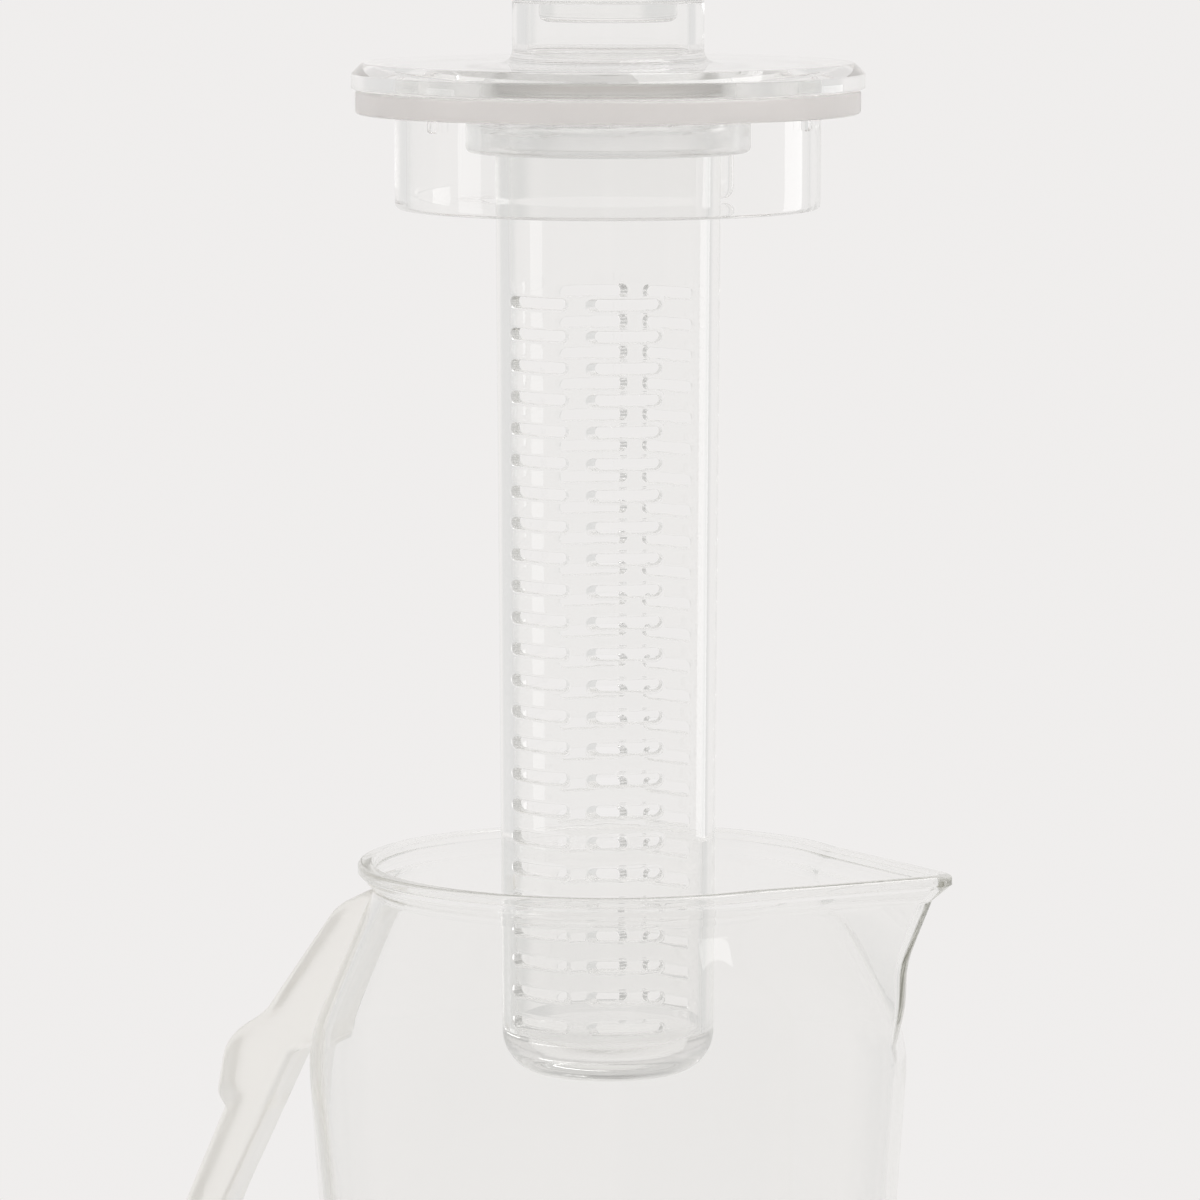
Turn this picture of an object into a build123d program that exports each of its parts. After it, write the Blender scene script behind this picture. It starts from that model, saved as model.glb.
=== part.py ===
from build123d import *
import os
from math import asin, cos, radians, sin, tan

# Fruit infuser pitcher: a clear jar with a spout and a strap handle, and a lid that carries
# a slotted infuser tube. Millimetres, +Z up, origin at the middle of the jar's underside.
# The spout points along +X and the handle along -X. The lid is modelled lifted out of the
# jar, with the foot of the infuser still inside the mouth.

# Jar
JAR_HEIGHT = 240.0
JAR_WALL = 3.0
JAR_FLOOR = 5.0
BASE_RADIUS = 58.0
BASE_ROUND = 7.0
SHOULDER_RADIUS = 71.4
SHOULDER_DROP = 43.5
SHOULDER_ROUND = 30.0
NECK_RADIUS = 55.3
NECK_DROP = 6.4
RIM_RADIUS = 59.3
RIM_BAND = 2.4
RIM_WIDTH = 4.2
RIM_ROUND = 1.0

# Spout
SPOUT_REACH = 83.5
SPOUT_NOSE = 6.0
SPOUT_THROAT = 78.8
KEEL_RISE = 11.6
KEEL_DROP = 21.0
FLANK_SINK = 0.8
KEEL_SINK = 4.0

# Handle
HANDLE_WIDTH = 20.0
HANDLE_THICKNESS = 10.4
HANDLE_EDGE_ROUND = 2.2
HANDLE_REACH = 110.0
HANDLE_LEAN = radians(23.4)
HANDLE_FOOT_LEAN = radians(47.5)
HANDLE_KNEE_DROP = 101.0
HANDLE_GRIP = 6.3
HANDLE_KNEE_ROUND = 90.0
HANDLE_ELBOW_ROUND = 32.0
HANDLE_ROOT_DROP = 12.5
HANDLE_ROOT_RISE = 7.0
HANDLE_ROOT_ROUND = 12.0
HANDLE_ARMPIT_DROP = 48.0
HANDLE_ARMPIT_ROUND = 3.0
THUMB_REST_DROP = 39.0
THUMB_REST_LENGTH = 20.0
THUMB_REST_RISE = 7.0
THUMB_REST_ROUND = 12.0
THUMB_HEEL_ROUND = 2.8

# Lid, with heights counted up from the seat, which is the underside of the gasket
LID_LIFT = 176.5
SEAT_GAP = 0.3
COVER_RADIUS = 60.2
COVER_THICKNESS = 6.2
COVER_PLATE = 3.2
COVER_BEVEL = 2.6
COVER_EDGE_ROUND = 0.6
GASKET_RADIUS = 59.2
GASKET_THICKNESS = 5.4
GASKET_ROUND = 0.8
KNOB_RADIUS = 22.5
KNOB_WALL = 3.5
KNOB_HEIGHT = 14.5
KNOB_ROOT_ROUND = 3.0
CAP_OVERHANG = 1.0
CAP_THICKNESS = 5.0
CAP_BOSS_RADIUS = 16.3
CAP_BOSS_DEPTH = 4.9
CAP_ROUND = 1.8
SKIRT_RADIUS = 50.0
SKIRT_WALL = 2.9
SKIRT_DEPTH = 22.3
SKIRT_FOOT_ROUND = 1.3
PLUG_PLATE = 2.8
SOCKET_WALL = 3.5
SOCKET_DEPTH = 9.0
POUR_GAP_ARC = 56.0
POUR_GAP_ANGLE = 39.0
POUR_GAP_TOP = 2.5
POUR_GAP_CORNER = 3.0
NUB_COUNT = 3
NUB_ANGLE = -7.5
NUB_WIDTH = 2.2
NUB_HEIGHT = 3.0
NUB_RISE = 1.2

# Infuser
TUBE_DEPTH = 227.5
TUBE_RADIUS_TOP = 26.5
TUBE_RADIUS_FOOT = 25.0
TUBE_WALL = 3.0
TUBE_FLOOR = 6.0
TUBE_FOOT_ROUND = 10.0
HEAD_RADIUS = 27.5
HEAD_DEPTH = 7.5
SLOT_ROWS = 24
SLOT_HEIGHT = 2.6
SLOT_LENGTH = 15.8
SLOT_RIB = 4.6
SLOT_FIRST_DROP = 43.2
SLOT_FOOT_MARGIN = 14.1
SEAL_THICKNESS = 2.0
SEAL_WIDTH = 3.6

# Screw thread between the infuser's head and the lid's socket
THREAD_PITCH = 4.0
THREAD_TURNS = 2.0
THREAD_HEIGHT = 1.8
THREAD_ROOT = 1.7
THREAD_CREST = 0.9
THREAD_BOTTOM_DROP = 6.2
THREAD_EMBED = 0.4

# Fits
RUNNING_GAP = 0.3
BOND_GAP = 0.1
THREAD_GAP = 0.6

# Heights that several pieces share
SEAT_Z = JAR_HEIGHT + SEAT_GAP + LID_LIFT
COVER_UNDER_Z = SEAT_Z + GASKET_THICKNESS + RUNNING_GAP
COVER_TOP_Z = COVER_UNDER_Z + COVER_THICKNESS
CEILING_Z = COVER_TOP_Z - COVER_PLATE
KNOB_TOP_Z = COVER_TOP_Z + KNOB_HEIGHT
SEAL_TOP_Z = CEILING_Z - RUNNING_GAP
TUBE_MOUTH_Z = SEAL_TOP_Z - SEAL_THICKNESS - RUNNING_GAP
TUBE_FOOT_Z = SEAT_Z - TUBE_DEPTH
SOCKET_BORE = HEAD_RADIUS + THREAD_HEIGHT + THREAD_GAP
SOCKET_RADIUS = SOCKET_BORE + SOCKET_WALL
TUBE_BORE = TUBE_RADIUS_TOP - TUBE_WALL
THREAD_BOTTOM_Z = SEAT_Z - THREAD_BOTTOM_DROP

os.makedirs("parts", exist_ok=True)


def shoulder_radius(drop):
    """Radius of the conical shoulder at a drop below the rim."""
    slope = (SHOULDER_RADIUS - NECK_RADIUS) / (SHOULDER_DROP - NECK_DROP)
    return NECK_RADIUS + slope * (drop - NECK_DROP)


def jar_profile(inset, rim_inset, floor_z, top_z):
    """Half outline of the jar, drawn in by one inset on the wall and another at the rim."""
    corners = [
        (0, floor_z),
        (BASE_RADIUS - inset, floor_z),
        (SHOULDER_RADIUS - inset, JAR_HEIGHT - SHOULDER_DROP),
        (NECK_RADIUS - inset, JAR_HEIGHT - NECK_DROP),
        (RIM_RADIUS - rim_inset, JAR_HEIGHT - RIM_BAND),
        (RIM_RADIUS - rim_inset, top_z),
        (0, top_z),
    ]
    return half_section(corners, [BASE_ROUND - inset, SHOULDER_ROUND - inset, RIM_BAND, 0, 0])


def spout_section(height, flank, reach, nose):
    """Plan of the spout at one height: two flanks, tangent to a circle, joined by a nose."""
    apex = (reach - nose) / (1 - nose / flank)
    lean = asin(flank / apex)
    foot = (flank * sin(lean), flank * cos(lean))
    shoulder = (reach - nose + nose * sin(lean), nose * cos(lean))
    with BuildSketch(Plane.XY.offset(height)) as section:
        with BuildLine():
            Line(foot, shoulder)
            ThreePointArc(shoulder, (reach, 0), (shoulder[0], -shoulder[1]))
            Line((shoulder[0], -shoulder[1]), (foot[0], -foot[1]))
            Line((foot[0], -foot[1]), foot)
        make_face()
    return section.sketch


def throat_sections(inset):
    """Plans of the spout below its lip, down to where it has run out into the shoulder."""
    run_out = SHOULDER_DROP + NECK_DROP
    keel_middle = (KEEL_DROP + SHOULDER_DROP) / 2
    keel_reach = shoulder_radius(KEEL_DROP) + KEEL_RISE
    reaches = [
        (NECK_DROP, SPOUT_THROAT),
        ((NECK_DROP + KEEL_DROP) / 2, (SPOUT_THROAT + 2 * keel_reach) / 3 + FLANK_SINK),
        (KEEL_DROP, keel_reach),
        (keel_middle, shoulder_radius(keel_middle) + KEEL_RISE / 2),
        (run_out, SHOULDER_RADIUS - KEEL_SINK),
    ]
    sections = []
    for drop, reach in reaches:
        flank = min(shoulder_radius(drop), SHOULDER_RADIUS - KEEL_SINK) - FLANK_SINK
        plan = spout_section(JAR_HEIGHT - drop, flank - inset, reach - inset, SPOUT_NOSE - inset)
        sections.append(plan)
    return sections


def lip_sections(inset, rim_inset, top_z):
    """Plans of the spout's flared lip, which carries the rim's band out to the tip."""
    nose = SPOUT_NOSE - rim_inset
    flank = RIM_RADIUS - rim_inset - FLANK_SINK
    neck_flank = NECK_RADIUS - inset - FLANK_SINK
    return [
        spout_section(JAR_HEIGHT - NECK_DROP, neck_flank, SPOUT_THROAT - inset, SPOUT_NOSE - inset),
        spout_section(JAR_HEIGHT - RIM_BAND, flank, SPOUT_REACH - rim_inset, nose),
        spout_section(top_z, flank, SPOUT_REACH - rim_inset, nose),
    ]


def closed_ring(corners, rounds):
    """Half section of a turned piece: a polyline with rounded corners, closed on itself."""
    with BuildSketch(Plane.YZ) as section:
        with BuildLine():
            FilletPolyline(*corners, radius=rounds, close=True)
        make_face()
    return section.sketch


def half_section(corners, rounds):
    """Half section of a turned piece that reaches the axis with its first and last corners."""
    with BuildSketch(Plane.YZ) as section:
        with BuildLine():
            FilletPolyline(*corners, radius=rounds)
            Line(corners[-1], corners[0])
        make_face()
    return section.sketch


def strap_offset(drop):
    """Distance of the handle's outer edge from the axis, along its upper leg."""
    return HANDLE_REACH - (HANDLE_KNEE_DROP - drop) * tan(HANDLE_LEAN)


def foot_drop(offset, start_offset, start_drop):
    """Drop at which a lower edge of the handle, followed from its elbow, reaches an offset."""
    return start_drop + (start_offset - offset) / tan(HANDLE_FOOT_LEAN)


def thread_path(root_radius, bottom_z):
    """Right-hand helix that a thread's rib follows."""
    with BuildLine() as path:
        Helix(THREAD_PITCH, THREAD_PITCH * THREAD_TURNS, root_radius, center=(0, 0, bottom_z))
    return path.line


def thread_section(root_radius, bottom_z, outward):
    """Trapezoid of a thread's rib at the foot of its helix, sunk a little into its wall."""
    sunk = root_radius - outward * THREAD_EMBED
    crest = root_radius + outward * THREAD_HEIGHT
    with BuildSketch(Plane.XZ) as section:
        with BuildLine():
            Polyline(
                (sunk, bottom_z - THREAD_ROOT / 2),
                (crest, bottom_z - THREAD_CREST / 2),
                (crest, bottom_z + THREAD_CREST / 2),
                (sunk, bottom_z + THREAD_ROOT / 2),
                close=True,
            )
        make_face()
    return section.sketch


# The jar's outside as a solid, which also shapes the handle's roots
with BuildPart() as jar_form:
    revolve(jar_profile(0, 0, 0, JAR_HEIGHT), axis=Axis.Z)
    loft(throat_sections(0))
    loft(lip_sections(0, 0, JAR_HEIGHT), ruled=True)

# Jar: the outside, hollowed from above, with its lip rounded
with BuildPart() as pitcher_body:
    add(jar_form.part)
    hollow = jar_profile(JAR_WALL, RIM_WIDTH, JAR_FLOOR, JAR_HEIGHT + RIM_BAND)
    revolve(hollow, axis=Axis.Z, mode=Mode.SUBTRACT)
    loft(throat_sections(JAR_WALL), mode=Mode.SUBTRACT)
    loft(lip_sections(JAR_WALL, RIM_WIDTH, JAR_HEIGHT + RIM_BAND), ruled=True, mode=Mode.SUBTRACT)
    fillet(pitcher_body.faces().sort_by(Axis.Z)[-1].edges(), radius=RIM_ROUND)
pitcher_body.part.label = "pitcher_body"
export_step(pitcher_body.part, "parts/pitcher_body.step")

# Handle: a strap cut from its side outline, with a thumb rest, seated on the jar's outside
with BuildPart() as handle:
    inner_reach = HANDLE_REACH - HANDLE_THICKNESS
    strap_width = HANDLE_THICKNESS / cos(HANDLE_LEAN)
    knee_turn = tan(HANDLE_LEAN / 2)
    elbow_turn = tan(HANDLE_FOOT_LEAN / 2)
    grip_top = HANDLE_KNEE_DROP + HANDLE_KNEE_ROUND * knee_turn
    elbow_drop = grip_top + HANDLE_GRIP + HANDLE_ELBOW_ROUND * elbow_turn
    inner_knee_drop = HANDLE_KNEE_DROP - HANDLE_THICKNESS * knee_turn
    inner_elbow_drop = elbow_drop - HANDLE_THICKNESS * elbow_turn
    thumb_heel = THUMB_REST_DROP + THUMB_REST_LENGTH
    thumb_brow = THUMB_REST_DROP + THUMB_REST_LENGTH / 3
    sunk = NECK_RADIUS - JAR_WALL
    outline = [
        (sunk, NECK_DROP),
        (shoulder_radius(HANDLE_ROOT_DROP) + HANDLE_ROOT_RISE, HANDLE_ROOT_DROP),
        (strap_offset(THUMB_REST_DROP), THUMB_REST_DROP),
        (strap_offset(thumb_brow) + THUMB_REST_RISE, thumb_brow),
        (strap_offset(thumb_heel) + THUMB_REST_RISE / 2, thumb_heel),
        (strap_offset(thumb_heel + THUMB_HEEL_ROUND), thumb_heel + THUMB_HEEL_ROUND),
        (HANDLE_REACH, HANDLE_KNEE_DROP),
        (HANDLE_REACH, elbow_drop),
        (sunk, foot_drop(sunk, HANDLE_REACH, elbow_drop)),
        (sunk, foot_drop(sunk, inner_reach, inner_elbow_drop)),
        (inner_reach, inner_elbow_drop),
        (inner_reach, inner_knee_drop),
        (strap_offset(HANDLE_ARMPIT_DROP) - strap_width, HANDLE_ARMPIT_DROP),
        (sunk, HANDLE_ARMPIT_DROP - HANDLE_ARMPIT_ROUND),
    ]
    outline_rounds = [
        0,
        HANDLE_ROOT_ROUND,
        THUMB_REST_ROUND,
        THUMB_REST_ROUND,
        THUMB_HEEL_ROUND,
        THUMB_HEEL_ROUND / 2,
        HANDLE_KNEE_ROUND,
        HANDLE_ELBOW_ROUND,
        0,
        0,
        HANDLE_ELBOW_ROUND - HANDLE_THICKNESS,
        HANDLE_KNEE_ROUND - HANDLE_THICKNESS,
        HANDLE_ARMPIT_ROUND,
        0,
    ]
    with BuildSketch(Plane.XZ):
        with BuildLine():
            points = [(-offset, JAR_HEIGHT - drop) for offset, drop in outline]
            FilletPolyline(*points, radius=outline_rounds, close=True)
        make_face()
    extrude(amount=HANDLE_WIDTH / 2, both=True)
    fillet(handle.faces().filter_by(Axis.Y).edges(), radius=HANDLE_EDGE_ROUND)
    add(jar_form.part, mode=Mode.SUBTRACT)
handle.part.label = "handle"
export_step(handle.part, "parts/handle.step")

# Lid cover: the bevelled disc, recessed below for the plug, with the hollow knob on top
with BuildPart() as lid_cover:
    recess = SKIRT_RADIUS + BOND_GAP
    knob_bore = KNOB_RADIUS - KNOB_WALL
    cover_corners = [
        (0, CEILING_Z),
        (recess, CEILING_Z),
        (recess, COVER_UNDER_Z),
        (COVER_RADIUS, COVER_UNDER_Z),
        (COVER_RADIUS, COVER_TOP_Z - COVER_BEVEL),
        (COVER_RADIUS - COVER_BEVEL, COVER_TOP_Z),
        (KNOB_RADIUS, COVER_TOP_Z),
        (KNOB_RADIUS, KNOB_TOP_Z),
        (knob_bore, KNOB_TOP_Z),
        (knob_bore, COVER_TOP_Z),
        (0, COVER_TOP_Z),
    ]
    edge = COVER_EDGE_ROUND
    cover_rounds = [0, 0, edge, edge, edge, KNOB_ROOT_ROUND, 0, 0, KNOB_ROOT_ROUND / 2]
    revolve(half_section(cover_corners, cover_rounds), axis=Axis.Z)
lid_cover.part.label = "lid_cover"
export_step(lid_cover.part, "parts/lid_cover.step")

# Knob cap: a rounded disc on the knob's wall, with a boss that hangs inside the knob
with BuildPart() as knob_cap:
    cap_radius = KNOB_RADIUS + CAP_OVERHANG
    cap_corners = [
        (0, KNOB_TOP_Z - CAP_BOSS_DEPTH),
        (CAP_BOSS_RADIUS, KNOB_TOP_Z - CAP_BOSS_DEPTH),
        (CAP_BOSS_RADIUS, KNOB_TOP_Z),
        (cap_radius, KNOB_TOP_Z),
        (cap_radius, KNOB_TOP_Z + CAP_THICKNESS),
        (0, KNOB_TOP_Z + CAP_THICKNESS),
    ]
    cap_rounds = [CAP_ROUND, 0, CAP_OVERHANG / 2, CAP_ROUND]
    revolve(half_section(cap_corners, cap_rounds), axis=Axis.Z)
knob_cap.part.label = "knob_cap"
export_step(knob_cap.part, "parts/knob_cap.step")

# Lid plug: skirt and threaded socket under one plate, with the pour gap and the gasket nubs
with BuildPart() as lid_plug:
    skirt_foot = SEAT_Z - SKIRT_DEPTH
    skirt_bore = SKIRT_RADIUS - SKIRT_WALL
    socket_foot = SEAT_Z - SOCKET_DEPTH
    plate_under = CEILING_Z - PLUG_PLATE
    plug_corners = [
        (SOCKET_BORE, CEILING_Z),
        (SKIRT_RADIUS, CEILING_Z),
        (SKIRT_RADIUS, skirt_foot),
        (skirt_bore, skirt_foot),
        (skirt_bore, plate_under),
        (SOCKET_RADIUS, plate_under),
        (SOCKET_RADIUS, socket_foot),
        (SOCKET_BORE, socket_foot),
    ]
    foot_round = SKIRT_FOOT_ROUND
    plug_rounds = [0, 0, foot_round, foot_round / 2, foot_round, foot_round, foot_round / 2, 0]
    revolve(closed_ring(plug_corners, plug_rounds), axis=Axis.Z)
    nub_z = SEAT_Z - RUNNING_GAP - NUB_HEIGHT / 2
    with Locations((0, 0, nub_z)):
        with PolarLocations(SKIRT_RADIUS, NUB_COUNT, start_angle=NUB_ANGLE):
            Box(2 * NUB_RISE, NUB_WIDTH, NUB_HEIGHT)
    gap_half = SKIRT_RADIUS * sin(radians(POUR_GAP_ARC / 2))
    gap_wing = gap_half + 2 * POUR_GAP_CORNER
    gap_top = SEAT_Z - POUR_GAP_TOP
    gap_corners = [
        (-gap_wing, skirt_foot),
        (-gap_half, skirt_foot),
        (-gap_half, gap_top),
        (gap_half, gap_top),
        (gap_half, skirt_foot),
        (gap_wing, skirt_foot),
    ]
    gap_way = Vector(1, 0, 0).rotate(Axis.Z, POUR_GAP_ANGLE)
    gap_start = SOCKET_RADIUS + SKIRT_WALL
    gap_plane = Plane(origin=gap_way * gap_start, x_dir=gap_way.rotate(Axis.Z, 90), z_dir=gap_way)
    with BuildSketch(gap_plane):
        with BuildLine():
            FilletPolyline(*gap_corners, radius=POUR_GAP_CORNER)
            Polyline(
                gap_corners[-1],
                (gap_wing, skirt_foot - POUR_GAP_CORNER),
                (-gap_wing, skirt_foot - POUR_GAP_CORNER),
                gap_corners[0],
            )
        make_face()
    extrude(amount=SKIRT_RADIUS, mode=Mode.SUBTRACT)
    rib_z = THREAD_BOTTOM_Z + THREAD_PITCH / 2
    sweep(thread_section(SOCKET_BORE, rib_z, -1), path=thread_path(SOCKET_BORE, rib_z), is_frenet=True)
lid_plug.part.label = "lid_plug"
export_step(lid_plug.part, "parts/lid_plug.step")

# Lid gasket: the soft ring that lies between the cover and the jar's lip
with BuildPart() as lid_gasket:
    gasket_bore = SKIRT_RADIUS + RUNNING_GAP
    gasket_corners = [
        (gasket_bore, SEAT_Z),
        (GASKET_RADIUS, SEAT_Z),
        (GASKET_RADIUS, SEAT_Z + GASKET_THICKNESS),
        (gasket_bore, SEAT_Z + GASKET_THICKNESS),
    ]
    revolve(closed_ring(gasket_corners, GASKET_ROUND), axis=Axis.Z)
lid_gasket.part.label = "lid_gasket"
export_step(lid_gasket.part, "parts/lid_gasket.step")

# Socket seal: the soft washer on the infuser's mouth
with BuildPart() as socket_seal:
    seal_corners = [
        (TUBE_BORE, SEAL_TOP_Z - SEAL_THICKNESS),
        (TUBE_BORE + SEAL_WIDTH, SEAL_TOP_Z - SEAL_THICKNESS),
        (TUBE_BORE + SEAL_WIDTH, SEAL_TOP_Z),
        (TUBE_BORE, SEAL_TOP_Z),
    ]
    revolve(closed_ring(seal_corners, SEAL_THICKNESS / 4), axis=Axis.Z)
socket_seal.part.label = "socket_seal"
export_step(socket_seal.part, "parts/socket_seal.step")

# Infuser tube: a drafted tube with a thick floor, rows of slots front and back, and a
# threaded head
with BuildPart() as infuser_tube:
    head_foot = SEAT_Z - HEAD_DEPTH
    neck_foot = head_foot - (HEAD_RADIUS - TUBE_RADIUS_TOP)
    tube_corners = [
        (0, TUBE_FOOT_Z),
        (TUBE_RADIUS_FOOT, TUBE_FOOT_Z),
        (TUBE_RADIUS_TOP, neck_foot),
        (HEAD_RADIUS, head_foot),
        (HEAD_RADIUS, TUBE_MOUTH_Z),
        (TUBE_BORE, TUBE_MOUTH_Z),
        (TUBE_RADIUS_FOOT - TUBE_WALL, TUBE_FOOT_Z + TUBE_FLOOR),
        (0, TUBE_FOOT_Z + TUBE_FLOOR),
    ]
    inner_round = TUBE_FOOT_ROUND - TUBE_WALL
    revolve(half_section(tube_corners, [TUBE_FOOT_ROUND, 0, 0, 0, 0, inner_round]), axis=Axis.Z)
    first_row = SEAT_Z - SLOT_FIRST_DROP
    slot_span = TUBE_DEPTH - SLOT_FIRST_DROP - SLOT_FOOT_MARGIN
    slot_pitch = slot_span / (SLOT_ROWS - 1)
    with BuildSketch(Plane.XZ):
        with Locations((0, first_row - slot_span / 2)):
            with GridLocations(SLOT_RIB + SLOT_LENGTH, slot_pitch, 2, SLOT_ROWS):
                SlotOverall(SLOT_LENGTH, SLOT_HEIGHT)
    extrude(amount=HEAD_RADIUS, both=True, mode=Mode.SUBTRACT)
    rib = thread_section(HEAD_RADIUS, THREAD_BOTTOM_Z, 1)
    sweep(rib, path=thread_path(HEAD_RADIUS, THREAD_BOTTOM_Z), is_frenet=True)
infuser_tube.part.label = "infuser_tube"
export_step(infuser_tube.part, "parts/infuser_tube.step")
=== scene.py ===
"""A clear fruit infuser pitcher: jar, handle, lid, infuser and a pale studio round them."""

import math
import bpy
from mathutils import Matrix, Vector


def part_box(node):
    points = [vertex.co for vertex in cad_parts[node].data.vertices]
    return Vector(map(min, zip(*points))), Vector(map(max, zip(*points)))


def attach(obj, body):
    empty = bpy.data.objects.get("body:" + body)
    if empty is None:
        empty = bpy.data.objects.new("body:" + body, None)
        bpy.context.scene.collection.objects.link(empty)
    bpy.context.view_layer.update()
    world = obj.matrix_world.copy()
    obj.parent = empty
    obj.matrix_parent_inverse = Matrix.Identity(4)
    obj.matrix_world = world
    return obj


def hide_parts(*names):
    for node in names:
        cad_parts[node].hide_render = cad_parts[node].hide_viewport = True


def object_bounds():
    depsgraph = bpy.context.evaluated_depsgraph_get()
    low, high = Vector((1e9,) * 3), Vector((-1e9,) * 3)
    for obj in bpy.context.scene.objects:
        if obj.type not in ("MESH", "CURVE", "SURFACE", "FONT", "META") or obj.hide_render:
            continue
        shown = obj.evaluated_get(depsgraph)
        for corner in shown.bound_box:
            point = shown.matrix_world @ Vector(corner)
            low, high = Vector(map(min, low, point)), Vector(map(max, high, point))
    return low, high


bl_info = {
    "name": "Fruit Infuser Pitcher",
    "version": (1, 0, 0),
    "blender": (4, 5, 0),
    "location": "View3D > Sidebar > Pitcher",
    "description": "Builds the clear pitcher, its lid and its infuser round a fixed frame",
    "category": "Add Mesh",
}

import bmesh
import bpy
import numpy as np
from bpy.props import FloatProperty, FloatVectorProperty, IntProperty, PointerProperty
from mathutils import Quaternion, Vector

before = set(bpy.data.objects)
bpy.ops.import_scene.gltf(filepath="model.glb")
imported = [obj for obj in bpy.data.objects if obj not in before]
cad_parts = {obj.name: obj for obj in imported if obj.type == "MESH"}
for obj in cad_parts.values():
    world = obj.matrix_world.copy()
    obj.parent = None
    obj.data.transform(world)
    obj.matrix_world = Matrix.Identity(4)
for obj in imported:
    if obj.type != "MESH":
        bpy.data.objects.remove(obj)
CAD_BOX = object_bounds()

MM = 0.001
_, JAR_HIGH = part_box("pitcher_body")
HANDLE_LOW, HANDLE_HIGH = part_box("handle")
COVER_LOW, COVER_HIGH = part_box("lid_cover")
CAP_LOW, CAP_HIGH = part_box("knob_cap")
PLUG_LOW, PLUG_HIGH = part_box("lid_plug")
GASKET_LOW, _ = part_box("lid_gasket")
SEAL_LOW, SEAL_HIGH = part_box("socket_seal")
TUBE_LOW, TUBE_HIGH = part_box("infuser_tube")
SENSOR_WIDTH = 36.0
STITCH = 2e-6
SEAL_WIDTH = 3.6 * MM
NUB_COUNT, NUB_COLUMNS = 3, 32

# Longest faces along the sections of the pieces, and largest turns between them on a rounding
PROFILE_STEP, JAR_STEP, LID_STEP, STRAP_STEP = 2 * MM, 3 * MM, 4 * MM, MM / 4
SKIRT_STEP, SOCKET_STEP, HEAD_STEP, FOOT_STEP = 1.5 * MM, 0.3 * MM, 0.4 * MM, 2 * MM
ARC_STEP, STRAP_ARC, SKIRT_ARC, FOOT_ARC = (math.radians(turn) for turn in (10, 3, 12, 6))

# Edges that turn more than this stay sharp
CREASE = math.radians(32)

# Share of a turn over which the thread runs out
THREAD_RUN_OUT = 0.04

# Faces along and up one slot's tile, and across each plain side of the tube
TILE_ACROSS, TILE_UP = 12, 6
SIDE_COLUMNS = 28

# Shares of the way from a slot's edge to its tile's border at which the rings of faces lie, and
# points on the rounding of that edge
TILE_RINGS = (1.0, 0.45, 0.12)
SLOT_ROUND = 4

# Points on a quarter round of the handle's edge, and faces across each of its flats
STRAP_ROUND, STRAP_FLAT = 7, 12

# Sections in the fan at the handle's root, and in the whole handle
FAN_SECTIONS, STRAP_SECTIONS = 40, 260

# Points down the skirt, on a quarter round of its lower edge, and across the plug's plate
SKIRT_ROWS, SKIRT_ROUND, PLATE_ROWS = 10, 5, 6

# A gasket nub: how square it is, and its size and rise, as shares, from its root to its top
NUB_SQUARENESS = 0.4
NUB_LEVELS = ((0.0, 0.0), (1.0, 0.0), (1.0, 0.6), (0.85, 0.9), (0.6, 1.0), (0.0, 1.0))

# Moulding ripples: depth and length on the plastic and on the silicone
PLASTIC_RIPPLE = (0.02 * MM, 30 * MM)
SILICONE_RIPPLE = (0.006 * MM, 9 * MM)

# Wiped haze: length of its patches, where in the noise it starts and ends, and its roughness
WIPED_LENGTH = 22 * MM
WIPED_START, WIPED_END = 0.4, 0.8
POLISHED = (0.0, 0.035)
FROST_SPREAD = 0.06

# Cloudiness of the silicone: length, where in the noise it starts and ends, tone and roughness
CLOUD_LENGTH = 14 * MM
CLOUD_START, CLOUD_END = 0.35, 0.7
CLOUD_TONE = 0.97
CLOUD_ROUGHNESS = (0.3, 0.42)

# How much light one surface passes to a ray that is let out, and to a ray towards a lamp
LET_OUT, LAMP_LIGHT = 0.97, 0.88

# The floor: its depth under the foot, its faces, its finish, and the share of its radius where
# it starts to fade
FLOOR_DROP = 0.2 * MM
FLOOR_RINGS, FLOOR_COLUMNS = 24, 96
FLOOR_ROUGHNESS, FLOOR_SPECULAR = 0.6, 0.2
FLOOR_FADE = 0.4

# Bearings and half widths, in degrees, of the dim flags round the room, and their lower edge
FLAGS = ((151, 8), (232, 14), (337, 30))
FLAG_SOFTNESS = 8
FLAG_FOOT = -14

# Angles from straight up between which the dim ceiling fades
CEILING_INSIDE, CEILING_OUTSIDE = 38, 60

# Bearing of the dim front of the room, and the angles between which it fades
FRONT, FRONT_INSIDE, FRONT_OUTSIDE = 16, 70, 120

# Rays that have met more surfaces than this go straight on, up to the most bounces of any ray
DEEP_RAY = 6
MOST_BOUNCES = 24

# Name, bearing in degrees, distance, height over the floor, width and height of the box, roll in
# degrees and power in watts
SOFTBOXES = (
    ("strip_left", 297, 1.5, 0.14, 0.42, 0.44, 0, 0.8),
    ("strip_right", 134, 1.5, 0.14, 0.5, 0.44, 0, 0.9),
    ("softbox_front", 70, 1.064, 0.87, 0.3, 0.01, -11.4, 0.02),
    ("softbox_top", 125, 0.5, 1.7, 1.0, 0.8, 0, 6.0),
)

# Pieces that a lamp shines on, where it doesn't shine on everything
STRIP_PIECES = ("slotted_tube", "plug_skirt", "cover_disc", "knob_plug")
LIT_PIECES = {
    "strip_left": STRIP_PIECES,
    "strip_right": STRIP_PIECES,
    "softbox_front": ("clear_jar",),
}


def size(name, description, millimetres):
    """A length that a user may change, given in millimetres and stored in metres."""
    return FloatProperty(
        name=name, description=description, default=millimetres * MM, precision=5, unit="LENGTH"
    )


def angle(name, description, degrees):
    """An angle that a user may change, given in degrees."""
    return FloatProperty(
        name=name, description=description, default=math.radians(degrees), subtype="ANGLE"
    )


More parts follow.
